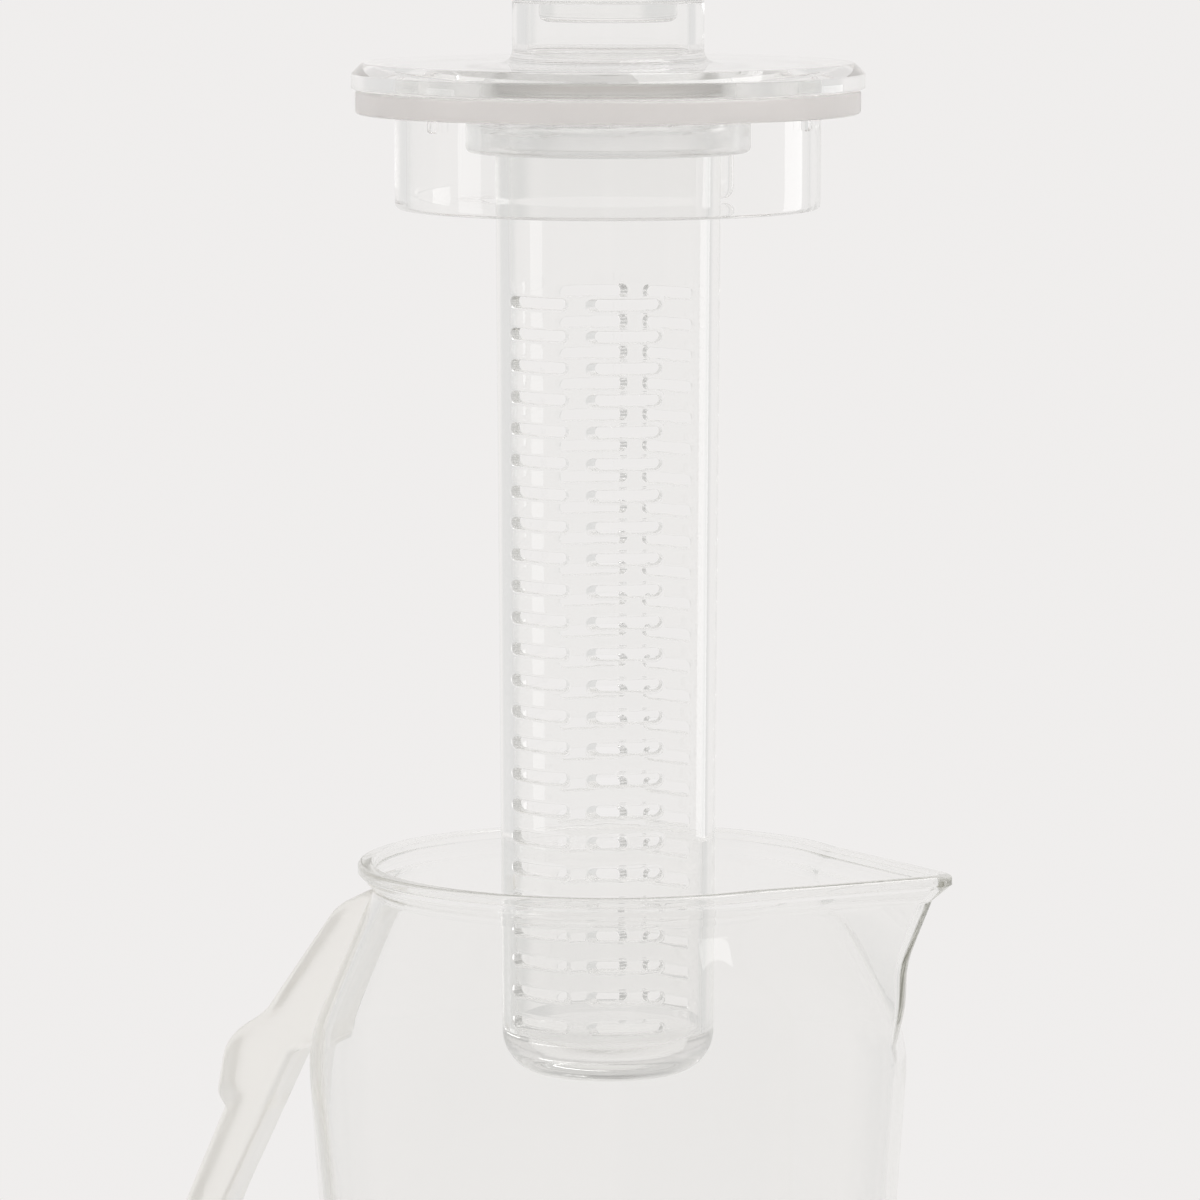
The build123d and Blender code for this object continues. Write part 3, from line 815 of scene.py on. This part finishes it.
def build_plug(lid, infuser, clear, frosted):
    """The plug: one section carried round the axis, through plate, skirt and threaded socket.

    The skirt's rows run from the plate to its lower edge, which rises round the pour gap, and
    the socket's bore is drawn in by the thread's rib.
    """
    outline, inward, columns = skirt_outline(lid)
    top, under = PLUG_HIGH.z - lid.bond, PLUG_HIGH.z - lid.plug_plate
    outer, inner = lid.skirt_radius, lid.skirt_radius - lid.skirt_wall
    socket, bore = lid.socket_bore + lid.socket_wall, lid.socket_bore
    socket_foot = GASKET_LOW.z - lid.socket_depth
    head = np.stack([columns, np.full(len(columns), top)], axis=1)
    ceiling = np.stack([columns, np.full(len(columns), under)], axis=1)
    quarter = np.linspace(0, math.pi / 2, SKIRT_ROUND)
    sharp, soft = lid.foot_round, lid.foot_round / 2

    def rows(start, end):
        """Rows of points from one edge of the skirt to another."""
        return start + (end - start) * np.linspace(0, 1, SKIRT_ROWS)[:, None, None]

    def rim(inset):
        """The lower edge, moved into the wall."""
        return outline + inward * inset

    skirt_places = np.concatenate([
        rows(head, rim(sharp)),
        np.stack([rim(inset) for inset in sharp * (1 - np.sin(quarter[1:]))]),
        np.stack([rim(inset) for inset in soft * (1 - np.cos(quarter))]),
        rows(rim(soft), ceiling)[1:],
    ])
    skirt_radii = np.concatenate([
        np.full(SKIRT_ROWS, outer),
        outer - sharp * (1 - np.cos(quarter[1:])),
        inner + soft * (1 - np.sin(quarter)),
        np.full(SKIRT_ROWS - 1, inner),
    ])[:, None]
    skirt = turned(skirt_radii, skirt_places[..., 1], skirt_places[..., 0] / outer)
    angles = columns / outer
    plate = turned(np.linspace(bore, outer, PLATE_ROWS)[:, None], top, angles)
    corners = [
        (inner, under),
        (socket, under),
        (socket, socket_foot),
        (bore, socket_foot),
        (bore, top),
    ]
    section = rounded_path(corners, [sharp, sharp, soft], SOCKET_STEP)
    on_bore = np.isclose(section[:, :1], bore)
    rib_start = GASKET_LOW.z - infuser.thread_drop + infuser.thread_pitch / 2
    rib = thread_rib(infuser, angles, section[:, 1:], rib_start) * infuser.thread_height
    well = turned(section[:, :1] - rib * on_bore, section[:, 1:], angles)
    in_socket = section[:, 0] < socket + STITCH
    first = int(np.argmax(in_socket))
    sheets = [
        (plate, True, 0),
        (skirt, True, 0),
        (well[: first + 1], True, 0),
        (well[first:], True, 1),
    ]
    return add_piece("plug_skirt", sheets, "lid", [clear, frosted], "lid_plug")


def build_nubs(lid, clear):
    """The gasket's nubs: rounded rectangles that shrink as they rise from the skirt."""
    turn = full_turn(NUB_COLUMNS)
    square = np.stack([np.cos(turn), np.sin(turn)])
    square = np.sign(square) * np.abs(square) ** NUB_SQUARENESS
    levels = np.array(NUB_LEVELS)
    across = levels[:, :1] * square[0] * lid.nub_width / 2
    heights = levels[:, :1] * square[1] * lid.nub_height / 2
    out = lid.skirt_radius + lid.bond / 2 + levels[:, 1:] * lid.nub_rise
    middle = GASKET_LOW.z - lid.nub_drop - lid.nub_height / 2
    ways = lid.nub_way + full_turn(NUB_COUNT)[:, None, None]
    sheet = np.stack([
        out * np.cos(ways) - across * np.sin(ways),
        out * np.sin(ways) + across * np.cos(ways),
        np.broadcast_to(middle + heights, (NUB_COUNT, *heights.shape)),
    ], axis=-1)
    return add_piece("gasket_nubs", [(sheet, True, 0)], "lid", [clear])


def slot_outline(half_length, half_height, grow):
    """A slot's edge as a stadium, grown by a little: corner arcs, flats and round ends.

    Its points go round from the lower left in the same order as those of its tile's border.
    """
    radius = half_height + grow
    centre = half_length - half_height
    flat = np.linspace(-centre, centre, TILE_ACROSS // 2 + 1)[1:-1]
    arc = math.pi / 4 * np.linspace(0, 1, TILE_ACROSS // 4 + 1)
    lead = arc - math.pi / 4
    left = np.stack([-centre + radius * np.sin(lead), -radius * np.cos(lead)], 1)
    below = np.stack([flat, np.full(len(flat), -radius)], 1)
    right = np.stack([centre + radius * np.sin(arc), -radius * np.cos(arc)], 1)
    end = math.pi / 4 * np.linspace(-1, 1, TILE_UP + 1)[1:-1]
    side = np.stack([centre + radius * np.cos(end), radius * np.sin(end)], 1)
    half = np.concatenate([left, below, right, side])
    return np.concatenate([half, -half])


def tile_border(half_width, half_height):
    """Border of a slot's tile, round from its lower left corner."""
    across = np.linspace(-half_width, half_width, TILE_ACROSS + 1)
    up = np.linspace(-half_height, half_height, TILE_UP + 1)[:-1]
    below = np.stack([across[:-1], np.full(TILE_ACROSS, -half_height)], 1)
    side = np.stack([np.full(TILE_UP, half_width), up], 1)
    half = np.concatenate([below, side])
    return np.concatenate([half, -half])


def build_infuser(infuser, clear):
    """The infuser: slotted faces front and back, plain sides, threaded head and thick floor.

    Each slot is a ring of faces from its tile's border on the outside, through the wall, to the
    border on the inside. The wall's outside and inside are y = sqrt(r(z)^2 - x^2) there, and the
    sides, head and foot are turned about the axis with columns that meet the tiles.
    """
    foot, mouth, seat = TUBE_LOW.z, TUBE_HIGH.z, GASKET_LOW.z
    head_foot = seat - infuser.head_depth
    neck = head_foot - (infuser.head_radius - infuser.radius_top)
    bore = infuser.radius_top - infuser.wall
    inner_foot = infuser.radius_foot - infuser.wall
    floor = foot + infuser.floor
    half_width = (infuser.slot_length + infuser.slot_rib) / 2
    span = (seat - foot) - infuser.first_drop - infuser.foot_margin
    half_pitch = span / (infuser.rows - 1) / 2
    last_row = foot + infuser.foot_margin
    zone_low, zone_high = last_row - half_pitch, last_row + span + half_pitch
    surfaces = {
        "outside": (np.array([foot, neck]), np.array([infuser.radius_foot, infuser.radius_top])),
        "inside": (np.array([floor, mouth]), np.array([inner_foot, bore])),
    }

    def radius(surface, heights):
        """Radius of the wall's outside or inside at given heights."""
        return np.interp(heights, *surfaces[surface])

    def tiles():
        """All slots: rings of (x, y, z), outside border first."""
        border = tile_border(half_width, half_pitch)
        edge = infuser.slot_edge
        bend = np.linspace(0, math.pi / 2, SLOT_ROUND)
        spread = np.array(TILE_RINGS)[:, None, None]
        half_height = infuser.slot_height / 2

        def half_ring(half_length):
            """From the tile's border in to a slot of that half length."""
            grows = edge * (1 - np.sin(bend))
            outlines = np.stack([slot_outline(half_length, half_height, grow) for grow in grows])
            return np.concatenate([outlines[:1] + (border - outlines[0]) * spread, outlines])

        half_length = infuser.slot_length / 2
        inner_half = half_ring(half_length - infuser.slot_draft)[::-1]
        ring = np.concatenate([half_ring(half_length), inner_half])
        depth = np.concatenate([np.zeros(len(spread)), edge * (1 - np.cos(bend))])
        sides = np.array([-1, 1])
        rows = last_row + np.arange(infuser.rows) * 2 * half_pitch
        x = (sides * half_width)[:, None, None, None] + ring[..., 0]
        z = rows[:, None, None] + ring[..., 1]
        x, z = np.broadcast_arrays(x, z)
        outside = np.sqrt(radius("outside", z) ** 2 - x**2)
        inside = np.sqrt(radius("inside", z) ** 2 - x**2)
        half = len(depth)
        y = np.concatenate([
            outside[..., :half, :] - depth[:, None],
            inside[..., half:, :] + depth[::-1, None],
        ], axis=-2)
        return [np.stack([x, way * y, z], axis=-1) for way in (-1, 1)]

    def column_angles(surface, height):
        """Angles of the columns at the top or foot of the slotted zone, from the front."""
        width = 2 * half_width
        places = np.linspace(-width, width, 2 * TILE_ACROSS + 1)
        across = np.arcsin(places / radius(surface, height))
        side = np.linspace(across[-1], math.pi - across[-1], SIDE_COLUMNS + 1)
        half = np.concatenate([across[:-1], side[:-1]])
        return np.concatenate([half, half + math.pi])

    def sides(surface):
        """The plain wall between the slotted faces, on both sides."""
        heights = np.linspace(zone_low, zone_high, infuser.rows * TILE_UP + 1)[:, None]
        r = radius(surface, heights)
        start = np.arcsin(2 * half_width / r)
        around = start + (math.pi - 2 * start) * np.linspace(0, 1, SIDE_COLUMNS + 1)
        wall = turned_from_front(r, heights, around)
        return np.stack([wall, wall * np.array([-1, 1, 1])])

    def turned_from_front(radii, heights, angles):
        """Surface of revolution whose angles start at the front."""
        return turned(radii, heights, angles - math.pi / 2)

    def head():
        """Threaded head: up the outside from the slotted zone, over the mouth and down inside."""
        edge = infuser.mouth_round
        corners = [
            (radius("outside", zone_high), zone_high),
            (infuser.radius_top, neck),
            (infuser.head_radius, head_foot),
            (infuser.head_radius, mouth),
            (bore, mouth),
            (radius("inside", zone_high), zone_high),
        ]
        section = rounded_path(corners, [0, edge, edge, edge], HEAD_STEP)
        on_outside = np.arange(len(section)) <= np.argmax(section[:, 1])
        outer, inner = column_angles("outside", zone_high), column_angles("inside", zone_high)
        angles = np.where(on_outside[:, None], outer, inner)
        start = seat - infuser.thread_drop
        rib = thread_rib(infuser, angles - math.pi / 2, section[:, 1:], start)
        on_thread = np.isclose(section[:, :1], infuser.head_radius)
        radii = section[:, :1] + rib * on_thread * infuser.thread_height
        return turned_from_front(radii, section[:, 1:], angles)

    def bottom(surface, level, edge):
        """Foot or floor: from the slotted zone down, round the edge and in to the axis."""
        start, corner = radius(surface, zone_low), radius(surface, level)
        corners = [(start, zone_low), (corner, level), (0, level)]
        section = rounded_path(corners, [edge], FOOT_STEP, FOOT_ARC)
        return turned_from_front(section[:, :1], section[:, 1:], column_angles(surface, zone_low))

    inner_round = infuser.foot_round - infuser.wall
    sheets = [(face, True, 0) for face in tiles()]
    sheets += [(sides(surface), False, 0) for surface in surfaces]
    sheets += [
        (head(), True, 0),
        (bottom("outside", foot, infuser.foot_round), True, 0),
        (bottom("inside", floor, inner_round), True, 0),
    ]
    return add_piece("slotted_tube", sheets, "infuser", [clear], "infuser_tube")


def node_kit(tree):
    """Two helpers for a node tree: one adds a node, and the other fills a node's inputs."""

    def fill(target, *sources, **named):
        """Fills inputs, by number or by name, with a value or with another node's output."""
        places = dict(enumerate(sources))
        places.update((name.replace("_", " "), source) for name, source in named.items())
        for place, source in places.items():
            if isinstance(source, bpy.types.NodeSocket):
                tree.links.new(source, target.inputs[place])
            else:
                target.inputs[place].default_value = source
        return target

    def node(kind, *sources, settings=None, **named):
        """Adds a node with its settings and fills its inputs."""
        made = tree.nodes.new(kind)
        for key, value in (settings or {}).items():
            setattr(made, key, value)
        return fill(made, *sources, **named)

    return node, fill


def new_material(name):
    """A material, its shader and output, and the two helpers for its nodes."""
    material = bpy.data.materials.new(name)
    material.use_nodes = True
    nodes = material.node_tree.nodes
    node, fill = node_kit(material.node_tree)
    return material, nodes["Principled BSDF"], nodes["Material Output"], node, fill


def plastic_waves(node, fill, shader, depth, length):
    """Bumps of a moulded surface: long soft ripples. Gives the Object coordinates they lie on."""
    place = node("ShaderNodeTexCoord").outputs["Object"]
    noise = node("ShaderNodeTexNoise", Vector=place, Scale=1 / length, Detail=1.5, Roughness=0.4)
    bump = node("ShaderNodeBump", Height=noise.outputs["Fac"], Strength=1.0, Distance=depth)
    fill(shader, Normal=bump.outputs["Normal"])
    return place


def let_light_through(shader, output, node, fill):
    """Lets lamps shine through the plastic, and lets out rays that were caught in its walls."""
    path = node("ShaderNodeLightPath").outputs
    more = {"operation": "GREATER_THAN"}
    caught = node("ShaderNodeMath", path["Ray Depth"], DEEP_RAY, settings=more)
    surface = shader.outputs["BSDF"]
    ways_out = ((caught.outputs["Value"], LET_OUT), (path["Is Shadow Ray"], LAMP_LIGHT))
    for passing, clearness in ways_out:
        pane = node("ShaderNodeBsdfTransparent", Color=(clearness, clearness, clearness, 1))
        either = node("ShaderNodeMixShader", passing, surface, pane.outputs["BSDF"])
        surface = either.outputs["Shader"]
    fill(output, Surface=surface)


def clear_plastic(finish, name, deep_colour, density, frost=None):
    """Polished acrylic: clear, a little warm in depth, rippled by its mould and faintly wiped.

    With a frost its roughness lies round that value.
    """
    material, shader, output, node, fill = new_material(name)
    fill(shader, Base_Color=(*finish.acrylic, 1), Transmission_Weight=1.0, IOR=finish.acrylic_index)
    place = plastic_waves(node, fill, shader, *PLASTIC_RIPPLE)
    wiped = node(
        "ShaderNodeTexNoise", Vector=place, Scale=1 / WIPED_LENGTH, Detail=3.0, Distortion=0.6
    )
    low, high = POLISHED if frost is None else (frost - FROST_SPREAD, frost + FROST_SPREAD)
    rough = node(
        "ShaderNodeMapRange",
        Value=wiped.outputs["Fac"],
        From_Min=WIPED_START,
        From_Max=WIPED_END,
        To_Min=low,
        To_Max=high,
    )
    fill(shader, Roughness=rough.outputs["Result"])
    depth = node("ShaderNodeVolumeAbsorption", Color=(*deep_colour, 1), Density=density)
    fill(output, Volume=depth.outputs["Volume"])
    let_light_through(shader, output, node, fill)
    return material


def soft_silicone(finish, name, clearness):
    """Matt translucent silicone with a fine moulded grain and a slight cloudiness."""
    material, shader, _, node, fill = new_material(name)
    fill(shader, Transmission_Weight=clearness, IOR=finish.silicone_index)
    place = plastic_waves(node, fill, shader, *SILICONE_RIPPLE)
    noise = node("ShaderNodeTexNoise", Vector=place, Scale=1 / CLOUD_LENGTH, Detail=3.0)
    cloud = noise.outputs["Fac"]
    ramp = node("ShaderNodeValToRGB", Fac=cloud)
    first, last = ramp.color_ramp.elements
    first.position, last.position = CLOUD_START, CLOUD_END
    first.color = (*(CLOUD_TONE * part for part in finish.silicone), 1)
    last.color = (*finish.silicone, 1)
    low, high = CLOUD_ROUGHNESS
    rough = node("ShaderNodeMapRange", Value=cloud, To_Min=low, To_Max=high)
    fill(shader, Base_Color=ramp.outputs["Color"], Roughness=rough.outputs["Result"])
    return material


def level_way(bearing):
    """Level direction on a bearing b in radians: (sin b, -cos b, 0)."""
    return Vector((math.sin(bearing), -math.cos(bearing), 0))


def build_surroundings(stage):
    """World: a plain pale backdrop. Rays through the plastic also see dim flags and a dim ceiling.

    A flag shows where a ray's level direction lies close to its bearing and the ray points over
    the flag's lower edge. Mirrored rays see a dimmer front of the room.
    """
    world = bpy.data.worlds.new("studio")
    bpy.context.scene.world = world
    world.use_nodes = True
    world.node_tree.nodes.clear()
    node, _ = node_kit(world.node_tree)

    def both(first, second):
        """Product of two factors."""
        made = node("ShaderNodeMath", first, second, settings={"operation": "MULTIPLY"})
        return made.outputs["Value"]

    def near(way, target, inside, outside):
        """1 where a direction lies within an angle of a target, fading to 0 outside it."""
        facing = node("ShaderNodeVectorMath", way, target, settings={"operation": "DOT_PRODUCT"})
        edge = node(
            "ShaderNodeMapRange",
            settings={"interpolation_type": "SMOOTHSTEP"},
            Value=facing.outputs["Value"],
            From_Min=math.cos(math.radians(outside)),
            From_Max=math.cos(math.radians(inside)),
        )
        return edge.outputs["Result"]

    def over(colour, factor, shown):
        """A colour laid over another by a factor."""
        return node("ShaderNodeMixRGB", factor, colour, (*shown, 1)).outputs["Color"]

    way = node("ShaderNodeTexCoord").outputs["Generated"]
    flat = node("ShaderNodeVectorMath", way, (1, 1, 0), settings={"operation": "MULTIPLY"})
    level = node(
        "ShaderNodeVectorMath", flat.outputs["Vector"], settings={"operation": "NORMALIZE"}
    ).outputs["Vector"]
    path = node("ShaderNodeLightPath").outputs
    through = path["Is Transmission Ray"]
    up, flag_foot = (0, 0, 1), 90 - FLAG_FOOT
    above = both(near(way, up, flag_foot, flag_foot + FLAG_SOFTNESS), through)
    ceiling = both(near(way, up, CEILING_INSIDE, CEILING_OUTSIDE), through)
    mirrored = both(path["Is Reflection Ray"], path["Is Glossy Ray"])
    front = near(level, level_way(math.radians(FRONT)), FRONT_INSIDE, FRONT_OUTSIDE)
    colour = (*stage.backdrop, 1)
    for bearing, half_width in FLAGS:
        target = level_way(math.radians(bearing))
        beside = near(level, target, half_width, half_width + FLAG_SOFTNESS)
        colour = over(colour, both(beside, above), stage.flag)
    colour = over(colour, ceiling, stage.ceiling)
    colour = over(colour, both(mirrored, front), stage.mirrored)
    background = node("ShaderNodeBackground", Color=colour)
    node("ShaderNodeOutputWorld", Surface=background.outputs["Background"])


def build_floor(stage):
    """Pale round floor that fades into the backdrop towards its edge."""
    rings = np.linspace(0, stage.floor_radius, FLOOR_RINGS)[:, None]
    grids = turned(rings, -FLOOR_DROP, full_turn(FLOOR_COLUMNS)[None, :])[None]
    mesh = bpy.data.meshes.new("floor")
    mesh.from_pydata(grids.reshape(-1, 3).tolist(), [], grid_faces(grids, True).tolist())
    material, shader, output, node, fill = new_material("pale_floor")
    fill(shader, Base_Color=(*stage.floor, 1), Roughness=FLOOR_ROUGHNESS)
    fill(shader, Specular_IOR_Level=FLOOR_SPECULAR)
    place = node("ShaderNodeTexCoord").outputs["Object"]
    distance = node("ShaderNodeVectorMath", place, settings={"operation": "LENGTH"})
    fade = node(
        "ShaderNodeMapRange",
        settings={"interpolation_type": "SMOOTHSTEP"},
        Value=distance.outputs["Value"],
        From_Min=stage.floor_radius * FLOOR_FADE,
        From_Max=stage.floor_radius,
    ).outputs["Result"]
    gone = node("ShaderNodeBsdfTransparent")
    mix = node("ShaderNodeMixShader", fade, shader.outputs["BSDF"], gone.outputs["BSDF"])
    fill(output, Surface=mix.outputs["Shader"])
    mesh.materials.append(material)
    floor = bpy.data.objects.new("floor", mesh)
    bpy.context.scene.collection.objects.link(floor)


def build_lamps():
    """Softboxes: each stands on a bearing, at a height, and faces the pitcher's middle.

    Some shine on a few pieces alone.
    """
    middle = Vector((0, 0, (CAD_BOX[0].z + CAD_BOX[1].z) / 2))
    for name, bearing, distance, height, width, tall, roll, power in SOFTBOXES:
        light = bpy.data.lights.new(name, "AREA")
        light.shape = "RECTANGLE"
        light.size, light.size_y = width, tall
        light.energy = power
        lamp = bpy.data.objects.new(name, light)
        lamp.location = level_way(math.radians(bearing)) * distance
        lamp.location.z = height
        facing = (middle - lamp.location).to_track_quat("-Z", "Y")
        lamp.rotation_euler = (facing @ Quaternion((0, 0, 1), math.radians(roll))).to_euler()
        lamp.visible_camera = lamp.visible_transmission = False
        if name in LIT_PIECES:
            lit = bpy.data.collections.new("lit_by_" + name)
            for piece in LIT_PIECES[name]:
                lit.objects.link(bpy.data.objects[piece])
            lamp.light_linking.receiver_collection = lit
        bpy.context.scene.collection.objects.link(lamp)


def build_camera(stage):
    """Camera on its bearing, a little over the lid, looking a little down at the pitcher."""
    data = bpy.data.cameras.new("camera")
    data.lens = stage.lens
    data.sensor_width = SENSOR_WIDTH
    camera = bpy.data.objects.new("camera", data)
    back = level_way(stage.camera_way)
    right = Vector((-back.y, back.x, 0))
    aim = Vector((0, 0, stage.aim_height)) - right * stage.aim_side
    camera.location = back * stage.camera_distance - right * stage.aim_side
    camera.location.z = stage.camera_height
    camera.rotation_euler = (aim - camera.location).to_track_quat("-Z", "Y").to_euler()
    bpy.context.scene.collection.objects.link(camera)
    bpy.context.scene.camera = camera


class PITCHER_OT_jar(bpy.types.Operator):
    """Build the clear jar with its lip and spout"""

    bl_idname = "pitcher.jar"
    bl_label = "Jar"

    def execute(self, context):
        scene = context.scene
        finish = scene.pitcher_finish
        deep, density = finish.acrylic_depth, finish.acrylic_density
        build_jar(scene.pitcher_jar, clear_plastic(finish, "polished_acrylic", deep, density))
        return {"FINISHED"}


class PITCHER_OT_handle(bpy.types.Operator):
    """Build the strap handle with its thumb rest"""

    bl_idname = "pitcher.handle"
    bl_label = "Handle"

    def execute(self, context):
        scene = context.scene
        finish = scene.pitcher_finish
        deep, density = finish.haze_depth, finish.haze_density
        hazed = clear_plastic(finish, "hazed_acrylic", deep, density, finish.haze)
        build_handle(scene.pitcher_jar, scene.pitcher_handle, hazed)
        return {"FINISHED"}


class PITCHER_OT_lid(bpy.types.Operator):
    """Build the lid: cover with knob, cap, threaded plug and gasket nubs"""

    bl_idname = "pitcher.lid"
    bl_label = "Lid"

    def execute(self, context):
        scene = context.scene
        lid, finish = scene.pitcher_lid, scene.pitcher_finish
        deep = finish.acrylic_depth
        limpid = clear_plastic(finish, "limpid_acrylic", deep, finish.cover_density)
        frosted = clear_plastic(finish, "frosted_acrylic", deep, finish.cover_density, finish.frost)
        clear = clear_plastic(finish, "skirt_acrylic", deep, finish.skirt_density)
        build_cover(lid, limpid)
        build_cap(lid, limpid)
        build_plug(lid, scene.pitcher_infuser, clear, frosted)
        build_nubs(lid, clear)
        return {"FINISHED"}


class PITCHER_OT_rings(bpy.types.Operator):
    """Build the milky gasket and the clear seal"""

    bl_idname = "pitcher.rings"
    bl_label = "Silicone rings"

    def execute(self, context):
        scene = context.scene
        finish = scene.pitcher_finish
        cloudy = soft_silicone(finish, "cloudy_silicone", finish.gasket_clearness)
        clear = soft_silicone(finish, "clear_silicone", finish.seal_clearness)
        build_rings(scene.pitcher_lid, cloudy, clear)
        return {"FINISHED"}


class PITCHER_OT_infuser(bpy.types.Operator):
    """Build the slotted infuser tube"""

    bl_idname = "pitcher.infuser"
    bl_label = "Infuser"

    def execute(self, context):
        scene = context.scene
        finish = scene.pitcher_finish
        deep, density = finish.acrylic_depth, finish.infuser_density
        clear = clear_plastic(finish, "infuser_acrylic", deep, density)
        build_infuser(scene.pitcher_infuser, clear)
        return {"FINISHED"}


class PITCHER_OT_stage(bpy.types.Operator):
    """Build the floor, surroundings, lamps and camera"""

    bl_idname = "pitcher.stage"
    bl_label = "Stage"

    def execute(self, context):
        stage = context.scene.pitcher_stage
        build_floor(stage)
        build_surroundings(stage)
        build_lamps()
        build_camera(stage)
        context.scene.view_settings.view_transform = "Standard"
        cycles = context.scene.cycles
        cycles.max_bounces = cycles.transparent_max_bounces = MOST_BOUNCES
        cycles.transmission_bounces = cycles.glossy_bounces = MOST_BOUNCES
        return {"FINISHED"}


class PITCHER_PT_panel(bpy.types.Panel):
    """Lists the pitcher's pieces in the sidebar"""

    bl_label = "Fruit Infuser Pitcher"
    bl_idname = "PITCHER_PT_panel"
    bl_space_type = "VIEW_3D"
    bl_region_type = "UI"
    bl_category = "Pitcher"

    def draw(self, context):
        for operator in OPERATORS:
            self.layout.operator(operator.bl_idname)


SETTINGS = {
    "pitcher_jar": JarSettings,
    "pitcher_handle": HandleSettings,
    "pitcher_lid": LidSettings,
    "pitcher_infuser": InfuserSettings,
    "pitcher_finish": FinishSettings,
    "pitcher_stage": StageSettings,
}
OPERATORS = (
    PITCHER_OT_jar,
    PITCHER_OT_handle,
    PITCHER_OT_lid,
    PITCHER_OT_rings,
    PITCHER_OT_infuser,
    PITCHER_OT_stage,
)
CLASSES = (*SETTINGS.values(), *OPERATORS, PITCHER_PT_panel)


def register():
    """Registers the classes and gives the scene its settings."""
    for cls in CLASSES:
        bpy.utils.register_class(cls)
    for name, settings in SETTINGS.items():
        setattr(bpy.types.Scene, name, PointerProperty(type=settings))


def unregister():
    """Takes the settings and the classes away again."""
    for name in SETTINGS:
        delattr(bpy.types.Scene, name)
    for cls in reversed(CLASSES):
        bpy.utils.unregister_class(cls)


def main():
    register()
    for operator in OPERATORS:
        group, name = operator.bl_idname.split(".")
        getattr(getattr(bpy.ops, group), name)()


if __name__ == "__main__":
    main()
